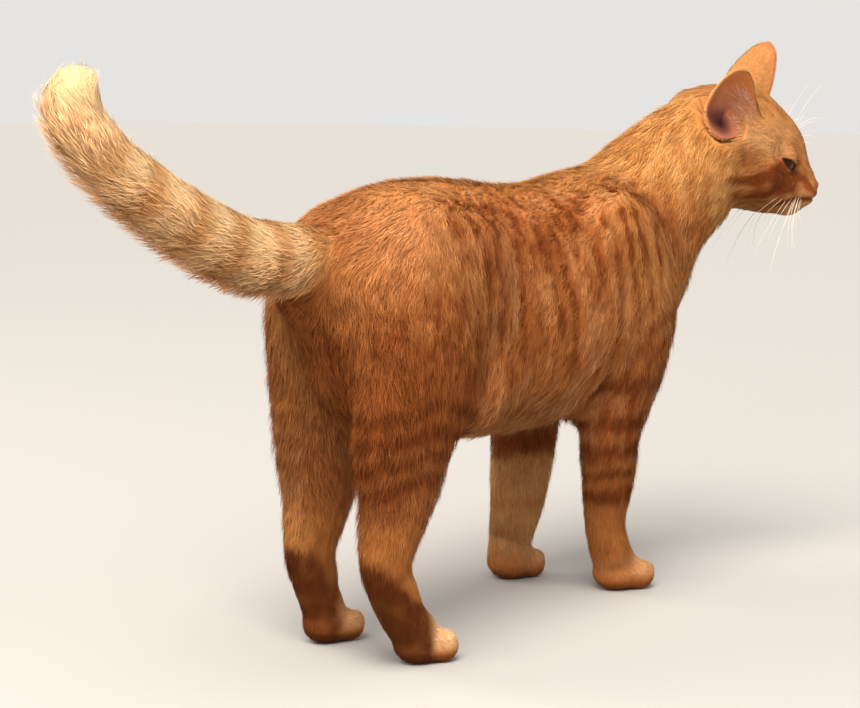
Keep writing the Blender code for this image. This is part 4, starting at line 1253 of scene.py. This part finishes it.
# %% [markdown]
# ## Laying the tufts out for baking
# Every tuft is one small patch, about 0.003 of the map across, at the place
# of its root on an unrolled body: how far down its part's middle line it is,
# and the angle round that line. Each coat piece has a map of its own.

# %% Unroll the body
PIECES = {
    "muzzle": "head", "face": "head", "skull": "head", "neck": "neck", "trunk": "trunk", "tail": "tail",
    "thigh": "hind", "shank": "hind", "foot": "hind", "paw": "", "arm": "fore", "forearm": "fore",
}
PATCH = 0.003
LONG_LINES = {
    "head": from_head(((-0.060, 0.0, 0.0), (0.062, 0.0, -0.010))),
    "neck": ((0.230, -0.045, 0.296), (0.095, -0.002, 0.205)),
    "trunk": ((0.190, 0.0, 0.200), (-0.200, 0.0, 0.205)),
    "tail": TAIL_LINE,
}


def unrolled(points, piece, side):
    """Place on the map: share down the middle line, and angle round it."""
    if piece == "hind":
        line = ((-0.110, side * 0.036, 0.260), (-0.146, side * 0.038, 0.110), (-0.120, side * 0.037, -0.005))
    elif piece == "fore":
        line = ((0.100, side * 0.040, 0.260), (0.090, side * 0.040, 0.110), (0.100, side * 0.036, -0.005))
    else:
        line = LONG_LINES[piece]
    line = np.asarray(line, float)
    _, way, down = near_line(points, line)
    mean_way = unit(line[-1] - line[0])
    first = unit(np.cross(mean_way, (0.13, 0.97, 0.21)))
    second = np.cross(mean_way, first)
    centre = through(line, 8)
    steps = np.linspace(0, 1, len(centre))
    on_line = np.stack([np.interp(down, steps, centre[:, k]) for k in range(3)], axis=1)
    away = points - on_line
    angle = np.arctan2(away @ second, away @ first) / (2 * math.pi) + 0.5
    return 0.01 + 0.98 * np.stack([down, angle], axis=1)


def coat_piece(name, points, facing, tones, marks_and_painted_light, uv, sizes):
    """One mesh of many tufts, with its marks, its tones and its map."""
    count, each = tones.shape
    pattern = tuft_faces(sizes)
    faces = (np.arange(count)[:, None, None] * each + pattern[None]).reshape(-1, 3)
    made = new_object(name, points.reshape(-1, 3), faces)
    point_values(made, "marks_and_painted_light", marks_and_painted_light.reshape(-1, 4))
    point_values(made, "tone", tones.reshape(-1, 1) ** (0.86, 1.06, 1.15, 1.0))    # darker is redder
    spread = np.linspace(-0.5, 0.5, each)
    patch = np.stack([spread, np.cos(np.arange(each) * 2.4) * 0.5], axis=1) * PATCH
    flat = (uv[:, None, :] + patch[None]).reshape(-1, 2)
    layer = made.data.uv_layers.new(name="OFBake")
    layer.data.foreach_set("uv", flat[faces.ravel()].astype(np.float32).ravel())
    if facing is not None:
        made.data.normals_split_custom_set_from_vertices(facing.reshape(-1, 3))
    made.data.materials.append(hair)
    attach(made, "root")
    return made


# %% Grow the short coat
def piece_of(points):
    """Name of the coat piece that a root belongs to, with its side."""
    _, _, part = coat_at(points)
    name = np.array([PIECES[n] for n in LINE_PARTS])[part]
    name = np.where(name == "", np.where(points[:, 0] < 0, "hind", "fore"), name)
    y = np.where(name == "head", to_head(points)[:, 1], points[:, 1])
    return name, np.where(y > 0, LEFT, RIGHT)


def grow(label, surface, count, density, shape, seed, only=None):
    """Picks roots on a surface and makes a coat piece for each body part, or
    one piece of the head on the side that only names."""
    rng = np.random.default_rng(seed)
    roots = pick_roots(surface, count, density, rng)
    points, facing, tones = grown_tufts(roots, rng, shape)
    name, side = piece_of(roots["points"])
    if only is not None:
        name, side = np.full(count, "head"), np.full(count, only)
    sizes = [1 if wide == 0.0 else 3 for _, _, wide, _ in shape["stations"]]
    marks_and_painted_light = np.empty((*tones.shape, 4))
    if "marks_and_painted_light" in roots:
        marks_and_painted_light[:] = roots["marks_and_painted_light"][:, None]
    else:
        for start, size in zip(np.cumsum([0, *sizes]), sizes):
            middle = points[:, start:start + size].mean(axis=1)
            marks_and_painted_light[:, start:start + size] = markings_with_painted_light(middle, roots["normals"])[:, None]
        # The root ring of a loose coat gets painted shade as stripe
        marks_and_painted_light[:, 0] = np.clip(marks_and_painted_light[:, 0] + roots["measures"][:, 5:6] * (0.38, 0, 0, 0), 0, 1)
    tones = tones + np.clip(1 - tones, 0, 1) * 0.85 * marks_and_painted_light[:, :, 1]      # less painted root shade on cream hair, which light fills
    for piece in sorted(set(name)):
        for way, word in SIDES:
            chosen = (name == piece) & (side == way)
            if not chosen.any():
                continue
            uv = unrolled(roots["points"][chosen], piece, way)
            turned = None if facing is None else facing[chosen]
            made = coat_piece(f"{label}_{piece}_{word}", points[chosen], turned, tones[chosen],
                              marks_and_painted_light[chosen], uv, sizes)
            print(" ", made.name, len(made.data.polygons), "triangles")


COAT_SIZE = 205_000
LOCK_COUNT = 16_000
in_head = to_head(skin_points)
bare = np.zeros(len(skin_points))
for side in (LEFT, RIGHT):
    across, up, away, reach = eye_angles(in_head, side)
    limit = np.where(up > 0, lid_edge(across, True), -lid_edge(across, False)) + math.radians(5)
    bare = np.maximum(bare, (np.abs(up) < limit) * (np.abs(across) < SLIT_HALF + 0.1) * (reach < 0.013)
                      * (away @ GAZE > 0))
    local = in_ear(in_head, side)
    over_pit = (from_pit(local, side) < 1.1) * (local[:, 2] > -0.020) * (in_head[:, 1] * side > 0.006)
    bare = np.maximum(bare, over_pit)
bare = np.maximum(bare, np.linalg.norm(in_head - NOSE_AT, axis=1) < 0.0068)
bare = np.maximum(bare, skin_points[:, 2] < 0.0025)
density = pelt["measures"][:, 3] * (1 - bare)
short_shape = {"length": 1.0, "lift": 1.0, "clump": 0.55, "lock": 0.0062, "stations": SHORT, "even": True}
grow("fur", pelt, COAT_SIZE, density, short_shape, 21)

# %% [markdown]
# ## Longer hair
# Under the tail, along the belly and down the backs of the thighs the hair is
# longer and hangs free, so it breaks the outline. These locks have one more
# ring, and stand a little further off.

# %% Grow the long locks
x, y, z = skin_points.T
normal = pelt["normals"]
_, _, part = coat_at(skin_points)
part_name = np.array(LINE_PARTS)[part]
fringe = 1.0 * (part_name == "tail") * ramp(-normal[:, 2], -0.25, 0.45)
fringe += 0.06 * (part_name == "tail")
fringe += 0.9 * (part_name == "trunk") * ramp(-normal[:, 2], 0.0, 0.7) * ramp(0.150 - z, 0, 0.02)
fringe += 0.9 * np.isin(part_name, ("thigh", "trunk")) * ramp(-normal[:, 0], 0.1, 0.7) * (x < -0.09)
fringe += 0.35 * np.isin(part_name, ("shank", "forearm")) * ramp(np.abs(normal[:, 0]), 0.1, 0.7)
fringe += 0.50 * np.isin(part_name, ("neck", "arm")) * ramp(normal[:, 0], 0.2, 0.8)
shaggy = np.ones((len(skin_points), 6))
shaggy[:, 0] += 1.4 * (part_name == "tail") * ramp(-normal[:, 2], -0.25, 0.45)
shaggy[:, 5] += 1.8 * (part_name == "tail")
long_shape = {"length": 1.35, "lift": 1.30, "free": 0.9, "clump": 0.55, "lock": 0.0075, "stations": LONG}
shaggy_pelt = dict(pelt, measures=pelt["measures"] * shaggy)
grow("lock", shaggy_pelt, LOCK_COUNT, fringe, long_shape, 22)

# %% [markdown]
# ## Ears
# A cat's ear is a bowl of gristle, thin at its rim, that narrows to the canal
# low at its rear. The rim is a closed curve through points given in the ear's
# own frame. The inner wall runs from the rim to the canal and swells backwards
# on its way, P = C + (R - C) f - face B sin(pi f^0.75), and the outer wall is
# that wall moved back along its normal by the thickness of the ear. The cat
# listens behind it with its right ear, which is turned out and to the side.

# %% Ear shells
EAR_COLUMNS, EAR_ROWS, EAR_WALL, EAR_SWELL = 84, 20, 0.0013, 0.0062


def made_ear(side, word):
    """The two walls row by row from the rim to the canal, and a round rim."""
    base, axes, scale = ear_frame(side)
    rim, canal = EAR_RIM[side], EAR_CANAL[side]
    fine = EAR_COLUMNS // len(rim)
    rim = np.vstack([rim[-1:], rim, rim[:2]])
    rim = through(rim, fine)[fine:-2 * fine]
    columns = len(rim)
    share = np.linspace(1, 0.03, EAR_ROWS)
    share = share[:, None, None]
    swell = EAR_SWELL * np.sin(math.pi * share[:, :, 0] ** 0.75) * ramp(rim[:, 1], 0.022, 0.046)[None]
    inner = canal + (rim[None] - canal) * share
    inner[:, :, 2] -= swell
    inner[:, :, 2] -= 0.0007 * bump(inner[:, :, 0] - 0.006, 0.0016) * ramp(share[:, :, 0], 0.2, 0.6)
    along = np.gradient(inner, axis=0)
    around = np.roll(inner, -1, axis=1) - np.roll(inner, 1, axis=1)
    into = unit(np.cross(along, around))
    into *= np.sign(into[EAR_ROWS // 3, :, 2].mean())
    wall = EAR_WALL * (1 + 1.2 * (1 - share))
    outer = inner - into * wall
    edge = (inner[0] + outer[0]) / 2 + unit(inner[0] - inner[1]) * 0.0005
    grid = np.concatenate([inner[::-1], edge[None], outer])
    rows = len(grid)
    k = np.arange(columns)
    low = (np.arange(rows - 1) * columns)[:, None]
    walls = np.stack([low + k, low + (k + 1) % columns, low + columns + (k + 1) % columns, low + columns + k],
                     axis=2).reshape(-1, 4)
    ends = np.array([inner[-1].mean(axis=0), outer[-1].mean(axis=0)])
    first, last = rows * columns, rows * columns + 1
    near_end = [(first, (j + 1) % columns, j) for j in range(columns)]
    start = (rows - 1) * columns
    far_end = [(last, start + j, start + (j + 1) % columns) for j in range(columns)]
    local = np.vstack([grid.reshape(-1, 3), ends])
    points = base + scale * local @ axes
    made = new_object("ear_shell_" + word, from_head(points), walls.tolist() + near_end + far_end)
    turn_outwards(made)
    inside = np.concatenate([np.ones(EAR_ROWS * columns), np.full(columns, 0.5), np.zeros(EAR_ROWS * columns),
                             (1.0, 0.0)])
    to_rim = np.concatenate([np.tile(share[::-1, 0, :], (1, columns)).ravel(), np.ones(columns),
                             np.tile(share[:, 0, :], (1, columns)).ravel(), (0.0, 0.0)])
    away = local - canal
    away[:, 0] *= np.where(away[:, 0] > 0, 1.5, 1.1)
    from_canal = np.linalg.norm(away, axis=1)
    # Painted shade deep in the ear, darker towards the canal
    point_values(made, "hollow_shade", np.clip(1 - from_canal / 0.030, 0, 1) * (inside > 0.9))
    return made, local, inside, to_rim


ear_skin, tree, shader = new_material("ear_skin")
# Orange near the rim, going to painted shade, almost black, deep in the canal
canal_shade_in = attribute(tree, "hollow_shade")
colours = tree.nodes.new("ShaderNodeValToRGB")
colours.color_ramp.elements[0].position = 0.0
colours.color_ramp.elements[0].color = (0.44, 0.140, 0.042, 1)
colours.color_ramp.elements[1].position = 0.95
colours.color_ramp.elements[1].color = (0.020, 0.006, 0.006, 1)
for position, colour in ((0.15, (0.42, 0.145, 0.056, 1)), (0.34, (0.38, 0.140, 0.062, 1)),
                         (0.55, (0.34, 0.115, 0.060, 1)), (0.76, (0.13, 0.038, 0.024, 1))):
    colours.color_ramp.elements.new(position).color = colour
tree.links.new(canal_shade_in.outputs["Fac"], colours.inputs["Fac"])
tint = mixed(tree, noise_node(tree, 260.0, 3.0), (0.86, 0.84, 0.84), (1.10, 1.12, 1.12))
tree.links.new(mixed(tree, 1.0, colours.outputs["Color"], tint, "MULTIPLY"), shader.inputs["Base Color"])
set_gloss(shader, 0.65, 0.15)
shader.inputs["Subsurface Weight"].default_value = 0.15
shader.inputs["Subsurface Radius"].default_value = (0.004, 0.0015, 0.001)

ear_coats = {}
for side, word in SIDES:
    shell, local, inside, to_rim = made_ear(side, word)
    shell.data.materials.append(ear_skin)
    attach(shell, "root")
    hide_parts("ear_" + word)
    ear_coats[side] = (shell, local, inside, to_rim)
    print(shell.name, len(shell.data.polygons), "faces")

# %% [markdown]
# ## Hair of the ears
# The back of the ear has very short, close hair that runs to the tip. A thin
# fringe stands round the rim, painted paler as a glow of light through the rim,
# and long pale wisps grow from the front edge across the opening, to keep dust
# out.

# %% Short hair, fringe and wisps
EAR_COAT = (0.7, 4.0, 0.22, 2.6, 0.0, 0.4)


def ear_surface(side):
    """The ear as a surface that hair can grow on, away from its canal."""
    shell, local, inside, to_rim = ear_coats[side]
    points = mesh_points(shell.data)
    _, axes, _ = ear_frame(side)
    lie = unit(local - EAR_CANAL[side]) @ axes @ HEAD_AXES
    surface = prepared(points, mesh_triangles(shell.data), mesh_edges(shell.data), lie,
                       np.tile(EAR_COAT, (len(points), 1)))
    colour = np.tile((0.06, 0.10, 0.75, 0.0), (len(points), 1))
    # Painted light: the hair at the rim is paler, a glow of light through the thin rim
    surface["marks_and_painted_light"] = colour + ramp(to_rim, 0.90, 1.0)[:, None] * (0, 0.35, 0, 0)
    return surface


back_shape = {"length": 1.0, "lift": 1.0, "clump": 0.2, "lock": 0.004, "stations": SHORT, "even": True}
fringe_shape = {"length": 0.8, "lift": 1.5, "clump": 0.2, "lock": 0.004, "stations": SHORT}
ear_hairs = 6_500
for side, word in SIDES:
    surface = ear_surface(side)
    _, local, inside, to_rim = ear_coats[side]
    on_back = (inside < 0.3) * ramp(to_rim, 0.1, 0.3)
    on_rim = (inside > 0.3) * ramp(to_rim, 0.93, 1.0)
    grow("ear_back_" + word, surface, ear_hairs, on_back, back_shape, 31 + side, side)
    grow("ear_rim_" + word, surface, ear_hairs // 5, on_rim, fringe_shape, 41 + side, side)


def tubes(paths, radii, sides):
    """Round tapered tubes with pointed ends along paths of the shape
    (tube, step, 3): rings square to the path, closed by a point at each end."""
    count, steps, _ = paths.shape
    way = unit(np.gradient(paths, axis=1))
    across = unit(np.cross(way, np.array((0.31, 0.22, 0.92))))
    second = np.cross(way, across)
    turn = 2 * math.pi * np.arange(sides) / sides
    ring = (np.cos(turn)[:, None] * across[:, :, None, :] + np.sin(turn)[:, None] * second[:, :, None, :])
    rings = paths[:, :, None, :] + ring * radii[:, :, None, None]
    rings = rings[:, 1:-1]
    points = np.concatenate([paths[:, :1], rings.reshape(count, -1, 3), paths[:, -1:]], axis=1)
    inner = steps - 2
    k = np.arange(sides)
    n = (k + 1) % sides
    start = np.stack([np.zeros(sides, int), 1 + n, 1 + k], axis=1)
    low = (1 + np.arange(inner - 1)[:, None] * sides)
    first = np.stack([low + k, low + n, low + n + sides], axis=2).reshape(-1, 3)
    other = np.stack([low + k, low + n + sides, low + k + sides], axis=2).reshape(-1, 3)
    top = 1 + (inner - 1) * sides
    end = np.stack([top + k, top + n, np.full(sides, 1 + inner * sides)], axis=1)
    pattern = np.vstack([start, first, other, end])
    each = points.shape[1]
    faces = (np.arange(count)[:, None, None] * each + pattern[None]).reshape(-1, 3)
    return points.reshape(-1, 3), faces


white_hair, tree, shader = new_material("white_hair")
tint = mixed(tree, noise_node(tree, 90.0), (0.74, 0.62, 0.48), (0.92, 0.84, 0.74))
tree.links.new(tint, shader.inputs["Base Color"])
shader.inputs["Roughness"].default_value = 0.35

rng = np.random.default_rng(51)
count, steps = 150, 7
for side, word in SIDES:
    base, axes, scale = ear_frame(side)
    _, local, inside, to_rim = ear_coats[side]
    front = (inside > 0.9) & (local[:, 0] > 0.004) & (local[:, 1] < 0.050)
    front &= (to_rim > 0.35) & (to_rim < 0.97)
    start = local[rng.choice(np.flatnonzero(front), count)] + rng.normal(0, 0.0006, (count, 3))
    way = unit(np.array((-0.80, 0.55, 0.42)) + rng.normal(0, 0.24, (count, 3)))
    length = rng.uniform(0.008, 0.018, count)
    s = np.linspace(0, 1, steps)[None, :, None]
    curl = unit(np.array((0.1, 0.9, 0.1)) + rng.normal(0, 0.3, (count, 3))) * 0.35
    paths = start[:, None] + length[:, None, None] * (s * way[:, None] + s ** 2 * curl[:, None])
    radii = 0.00009 * np.broadcast_to(1 - 0.7 * s[:, :, 0], (count, steps))
    paths = base + scale * paths @ axes
    wisps = new_object("ear_wisps_" + word, *tubes(from_head(paths), radii, 3))
    wisps.data.materials.append(white_hair)
    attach(wisps, "root")
print("wisps:", count, "in each ear")

# %% [markdown]
# ## Eyes
# The cat squints, so only a slit of the eyeball shows between the lids. The
# ball is a true sphere round the gaze, with a dark amber iris, a pupil drawn to
# an upright slit and a wet gloss. Its inner corner is covered by the third
# eyelid. A dark bare rim runs round the edges of the lids.

# %% Eyeballs and lid rims
def ball_grid(rings, spokes):
    """A ball in rings from pole to pole: the angle from the pole and the angle
    round it at each point between the poles, and the faces, which are fans at
    the poles and squares between the rings."""
    from_pole = np.linspace(0, math.pi, rings)[1:-1]
    round_it = 2 * math.pi * np.arange(spokes) / spokes
    k = np.arange(spokes)
    n = (k + 1) % spokes
    low = 1 + np.arange(len(from_pole) - 1)[:, None] * spokes
    last, end = 1 + (len(from_pole) - 1) * spokes, np.full(spokes, 1 + len(from_pole) * spokes)
    faces = np.stack([np.zeros(spokes, int), 1 + k, 1 + n], axis=1).tolist()
    squares = np.stack([low + k, low + spokes + k, low + spokes + n, low + n], axis=2)
    faces += squares.reshape(-1, 4).tolist()
    faces += np.stack([last + k, end, last + n], axis=1).tolist()
    return np.repeat(from_pole, spokes), np.tile(round_it, len(from_pole)), faces


def ball_direction(across, up):
    """Direction from the eyeball's middle for angles across the opening and
    up from its middle line."""
    up = up + SLIT_UP
    return (np.outer(np.cos(up) * np.cos(across), GAZE) + np.outer(np.cos(up) * np.sin(across), EYE_ACROSS)
            + np.outer(np.sin(up), EYE_UP))


def made_eye(side, word):
    """A sphere round the gaze: cos(a) along it, and sin(a) across it towards
    the angle b."""
    flat_a, flat_b, faces = ball_grid(26, 36)
    out = (np.outer(np.cos(flat_a), GAZE) + np.outer(np.sin(flat_a) * np.cos(flat_b), EYE_ACROSS)
           + np.outer(np.sin(flat_a) * np.sin(flat_b), EYE_UP))
    out = np.vstack([GAZE, out, -GAZE])
    points = EYE_AT + out * (EYE_RADIUS - 0.0001)
    if side == RIGHT:
        faces = [face[::-1] for face in faces]
    made = new_object("eyeball_" + word, from_head(mirrored(points, side)), faces)
    u, v = out @ EYE_ACROSS, out @ EYE_UP
    point_values(made, "pupil", np.hypot(u / 0.24, v / 0.56))
    point_values(made, "iris", np.concatenate([[0], flat_a, [math.pi]]) / 0.72)
    point_values(made, "haw", ramp(math.radians(14) - np.arctan2(u, out @ GAZE), -0.05, 0.05))
    return made


def grey_from(tree, value, start):
    """Black up to start, then a grey ramp to white at 1."""
    node = tree.nodes.new("ShaderNodeValToRGB")
    node.color_ramp.elements[0].position = start
    node.color_ramp.elements[1].position = 1.0
    tree.links.new(value, node.inputs["Fac"])
    return node.outputs["Color"]


eye_finish, tree, shader = new_material("amber_eye_wet")
ring = attribute(tree, "iris")
fibres = mixed(tree, noise_node(tree, 1500.0, 3.0), (0.045, 0.017, 0.005), (0.120, 0.052, 0.012))
edge = grey_from(tree, ring.outputs["Fac"], 0.86)
colour = mixed(tree, edge, fibres, (0.055, 0.025, 0.012))
outside_pupil = grey_from(tree, attribute(tree, "pupil").outputs["Fac"], 0.86)
colour = mixed(tree, outside_pupil, (0.004, 0.003, 0.002), colour)
colour = mixed(tree, 0.72, colour, (0.010, 0.005, 0.003))                     # the lids' shade
haw = mixed(tree, attribute(tree, "haw").outputs["Fac"], colour, (0.105, 0.046, 0.030))
tree.links.new(haw, shader.inputs["Base Color"])
set_gloss(shader, 0.16, 0.06)

rim_skin, tree, shader = new_material("lid_rim_skin")
tint = mixed(tree, noise_node(tree, 700.0, 2.0), (0.035, 0.013, 0.007), (0.080, 0.032, 0.016))
tree.links.new(tint, shader.inputs["Base Color"])
set_gloss(shader, 0.55, 0.12)

LID_POINTS, LID_SIDES, LID_RADIUS, LID_LIFT = 72, 8, 0.00052, 0.00055
for side, word in SIDES:
    eyeball = made_eye(side, word)
    eyeball.data.materials.append(eye_finish)
    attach(eyeball, "root")
    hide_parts("eye_" + word)
    loop = 2 * math.pi * np.arange(LID_POINTS) / LID_POINTS
    across = SLIT_HALF * np.cos(loop) * 1.02
    up = np.where(np.sin(loop) > 0, lid_edge(across, True), lid_edge(across, False))
    path = EYE_AT + ball_direction(across, up) * (EYE_RADIUS + LID_LIFT)
    path = from_head(mirrored(path, side))
    way = unit(np.roll(path, -1, axis=0) - np.roll(path, 1, axis=0))
    out = unit(path - from_head(mirrored(EYE_AT, side)))
    over = np.cross(way, out)
    turn = (2 * math.pi * np.arange(LID_SIDES) / LID_SIDES)[:, None]
    ring = path[:, None] + LID_RADIUS * (np.cos(turn) * out[:, None] + np.sin(turn) * over[:, None])
    k = np.arange(LID_POINTS)[:, None] * LID_SIDES
    k_next = np.roll(k, -1, axis=0)
    j = np.arange(LID_SIDES)[None]
    j_next = (j + 1) % LID_SIDES
    faces = np.stack([k + j, k_next + j, k_next + j_next, k + j_next], axis=2).reshape(-1, 4)
    rim = new_object("lid_rim_" + word, ring.reshape(-1, 3), faces)
    turn_outwards(rim)
    rim.data.materials.append(rim_skin)
    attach(rim, "root")
print("eyes and rims made")

# %% [markdown]
# ## Nose leather
# The bare nose is a small cushion, wider at the top than below, split by a
# groove. A nostril opens on each side as a comma, deep at the front. It is an
# ellipsoid whose width shrinks downwards, with bells pressed into it, and
# painted shade darkens the nostrils and the groove.

# %% Nose
def made_nose():
    """An ellipsoid with its poles above and below, (sin a cos b, sin a sin b,
    cos a) times its half sizes, pressed in by bells for nostrils and groove."""
    flat_a, flat_b, faces = ball_grid(40, 56)
    level = np.sin(flat_a)
    out = np.stack([level * np.cos(flat_b), level * np.sin(flat_b), np.cos(flat_a)], axis=1)
    out = np.vstack([(0, 0, 1), out, (0, 0, -1)])
    narrow = 0.72 + 0.28 * np.clip(out[:, 2] * 1.2 + 0.2, -1, 1)
    shape = out * np.array((0.0046, 0.0062, 0.0050))
    shape[:, 1] *= narrow
    y, z = np.abs(shape[:, 1]), shape[:, 2]
    front = ramp(out[:, 0], -0.1, 0.5)
    hole = bump(np.hypot((y - 0.0029) / 1.25, z + 0.0007 + 0.35 * (y - 0.0029)), 0.0011)
    slot = bump(np.hypot((y - 0.0050) / 1.6, z + 0.0016), 0.0008)
    groove = bump(y, 0.0006) * ramp(0.0012 - z, 0, 0.0016)
    shape -= out * ((0.0021 * hole + 0.0012 * slot) * front + 0.0006 * groove)[:, None]
    made = new_object("nose_leather", from_head(shape + NOSE_AT + (-0.0008, 0, -0.0002)), faces)
    # Painted shade in the nostrils and the groove
    point_values(made, "hollow_shade", np.clip(hole * front * 1.3 + slot * front + 0.35 * groove, 0, 1))
    return made


leather, tree, shader = new_material("nose_leather_skin")
tint = mixed(tree, noise_node(tree, 900.0, 3.0), (0.27, 0.090, 0.060), (0.40, 0.150, 0.100))
# Painted shade darkens the nostrils and the groove
nostril_shade_in = attribute(tree, "hollow_shade")
tree.links.new(mixed(tree, nostril_shade_in.outputs["Fac"], tint, (0.05, 0.014, 0.010)), shader.inputs["Base Color"])
shader.inputs["Roughness"].default_value = 0.42
cells = tree.nodes.new("ShaderNodeTexVoronoi")
cells.inputs["Scale"].default_value = 2200.0
place = tree.nodes.new("ShaderNodeTexCoord")
tree.links.new(place.outputs["Object"], cells.inputs["Vector"])
set_relief(tree, shader, cells.outputs["Distance"], 0.6, 0.0002)
nose = made_nose()
nose.data.materials.append(leather)
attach(nose, "root")
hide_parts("nose")
print("nose:", len(nose.data.polygons), "faces")

# %% [markdown]
# ## Whiskers
# Whiskers are the stiffest hairs a cat has. They stand in rows on the pads
# beside the nose, start outwards and droop under their own weight. A few more
# stand over each eye. Each one is a tapered tube along a curve of the second
# degree through its start, middle and end: (1-s)^2 A + 2 s (1-s) B + s^2 C.

# %% Whiskers
# Start, middle and end of each one in the left of the head's frame, in mm
WHISKERS = (
    ((36, 18.0, -17.5), (14, 29.5, -31), (-2, 30, -52)), ((34, 19.0, -20.0), (18, 32.0, -41), (6, 36, -72)),
    ((38, 17.0, -17.0), (22, 28.0, -28), (9, 32, -43)), ((37, 18.0, -19.5), (22, 31.0, -40), (16, 35, -57)),
    ((36, 19.0, -22.0), (25, 33.0, -52), (21, 38, -81)), ((39, 17.0, -19.0), (27, 30.5, -46), (22, 35, -70)),
    ((38, 18.0, -22.0), (31, 30.0, -42), (33, 35, -61)), ((41, 16.0, -19.5), (34, 28.0, -42), (37, 33, -62)),
    ((40, 17.0, -22.5), (34, 30.5, -44), (38, 35, -62)), ((43, 14.5, -20.5), (38, 23.5, -35), (38, 27, -46)),
    ((45, 13.0, -21.5), (41, 20.0, -33), (45, 24, -42)),
)
BROWS = (
    ((29, 8.5, 24.5), (35, 9.5, 43), (43, 11, 57)), ((30, 10.0, 24.0), (32, 11.5, 31), (33, 13, 37)),
    ((31, 8.0, 22.5), (39, 9.5, 31), (50, 11, 33)), ((31, 10.0, 22.0), (37, 12.0, 28), (42, 14, 30)),
    ((34, 8.0, 18.5), (43, 9.5, 20), (47, 11, 18)), ((35, 9.0, 14.5), (42, 10.0, 15), (46, 11, 14)),
)
steps = 12
s = np.linspace(0, 1, steps)[None, :, None]
for side, word in SIDES:
    for label, rows, thick in (("whiskers", WHISKERS, 0.00016), ("brow_whiskers", BROWS, 0.00012)):
        start, half_way, end = (mirrored([row[k] for row in rows], side)[:, None] / 1000 for k in range(3))
        pull = 2 * half_way - (start + end) / 2
        paths = (1 - s) ** 2 * start + 2 * s * (1 - s) * pull + s ** 2 * end
        radii = thick * np.broadcast_to((1 - 0.75 * s[:, :, 0]), paths.shape[:2])
        made = new_object(f"{label}_{word}", *tubes(from_head(paths), radii, 6))
        made.data.materials.append(white_hair)
        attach(made, "root")
print("whiskers on each side:", len(WHISKERS) + len(BROWS))

# %% [markdown]
# ## Floor, light and camera
# A pale floor, a wide soft sun from behind, three weak lights and a bright
# plain surround show the coat without hard shadows. The camera looks at the cat
# from behind its right side, a little above its back, through a long lens.

# %% Stage
floor = new_object("floor", [(-9, -9, 0), (9, -9, 0), (9, 9, 0), (-9, 9, 0)], [(0, 1, 2, 3)])
plain, tree, shader = new_material("floor_pale")
shader.inputs["Base Color"].default_value = (0.385, 0.375, 0.365, 1.0)
shader.inputs["Roughness"].default_value = 0.9
floor.data.materials.append(plain)

world = bpy.data.worlds.new("surround")
world.use_nodes = True
world.node_tree.nodes["Background"].inputs["Color"].default_value = (1.0, 0.98, 0.95, 1.0)
world.node_tree.nodes["Background"].inputs["Strength"].default_value = 0.79
bpy.context.scene.world = world

AIM = np.array((-0.045, 0.015, 0.166)) + BODY_ORIGIN
AZIMUTH, ELEVATION, DISTANCE = math.radians(-54.0), math.radians(7.2), 1.40


def placed(thing, at, towards):
    """Puts a light or camera at a place and turns it to look at another."""
    thing.location = Vector(at)
    thing.rotation_euler = Vector(np.asarray(towards) - np.asarray(at)).to_track_quat("-Z", "Y").to_euler()
    bpy.context.scene.collection.objects.link(thing)
    return thing


def soft_light(name, at, size, power, colour):
    data = bpy.data.lights.new(name, "AREA")
    data.shape = "DISK"
    data.size, data.energy, data.color = size, power, colour
    return placed(bpy.data.objects.new(name, data), np.array(at) + BODY_ORIGIN, AIM)


daylight = bpy.data.lights.new("key", "SUN")
daylight.energy, daylight.angle, daylight.color = 4.45, math.radians(40), (1.0, 0.94, 0.85)
placed(bpy.data.objects.new("key", daylight), AIM + (-0.75, -0.30, 1.35), AIM)
soft_light("rim", (-0.6, 1.5, 1.3), 0.9, 12, (1.0, 0.88, 0.72))
soft_light("back", (-1.0, -0.30, 0.75), 0.6, 3.2, (1.0, 0.93, 0.84))
soft_light("tail", (-0.55, -0.42, 0.62), 0.30, 2.7, (1.0, 0.93, 0.84))

camera = bpy.data.cameras.new("camera")
camera.sensor_width, camera.lens = 36.0, 96.5
back = np.array((math.sin(AZIMUTH) * math.cos(ELEVATION), -math.cos(AZIMUTH) * math.cos(ELEVATION),
                 math.sin(ELEVATION)))
viewer = placed(bpy.data.objects.new("camera", camera), AIM + DISTANCE * back, AIM)
bpy.context.scene.camera = viewer
bpy.context.scene.view_settings.view_transform = "Standard"
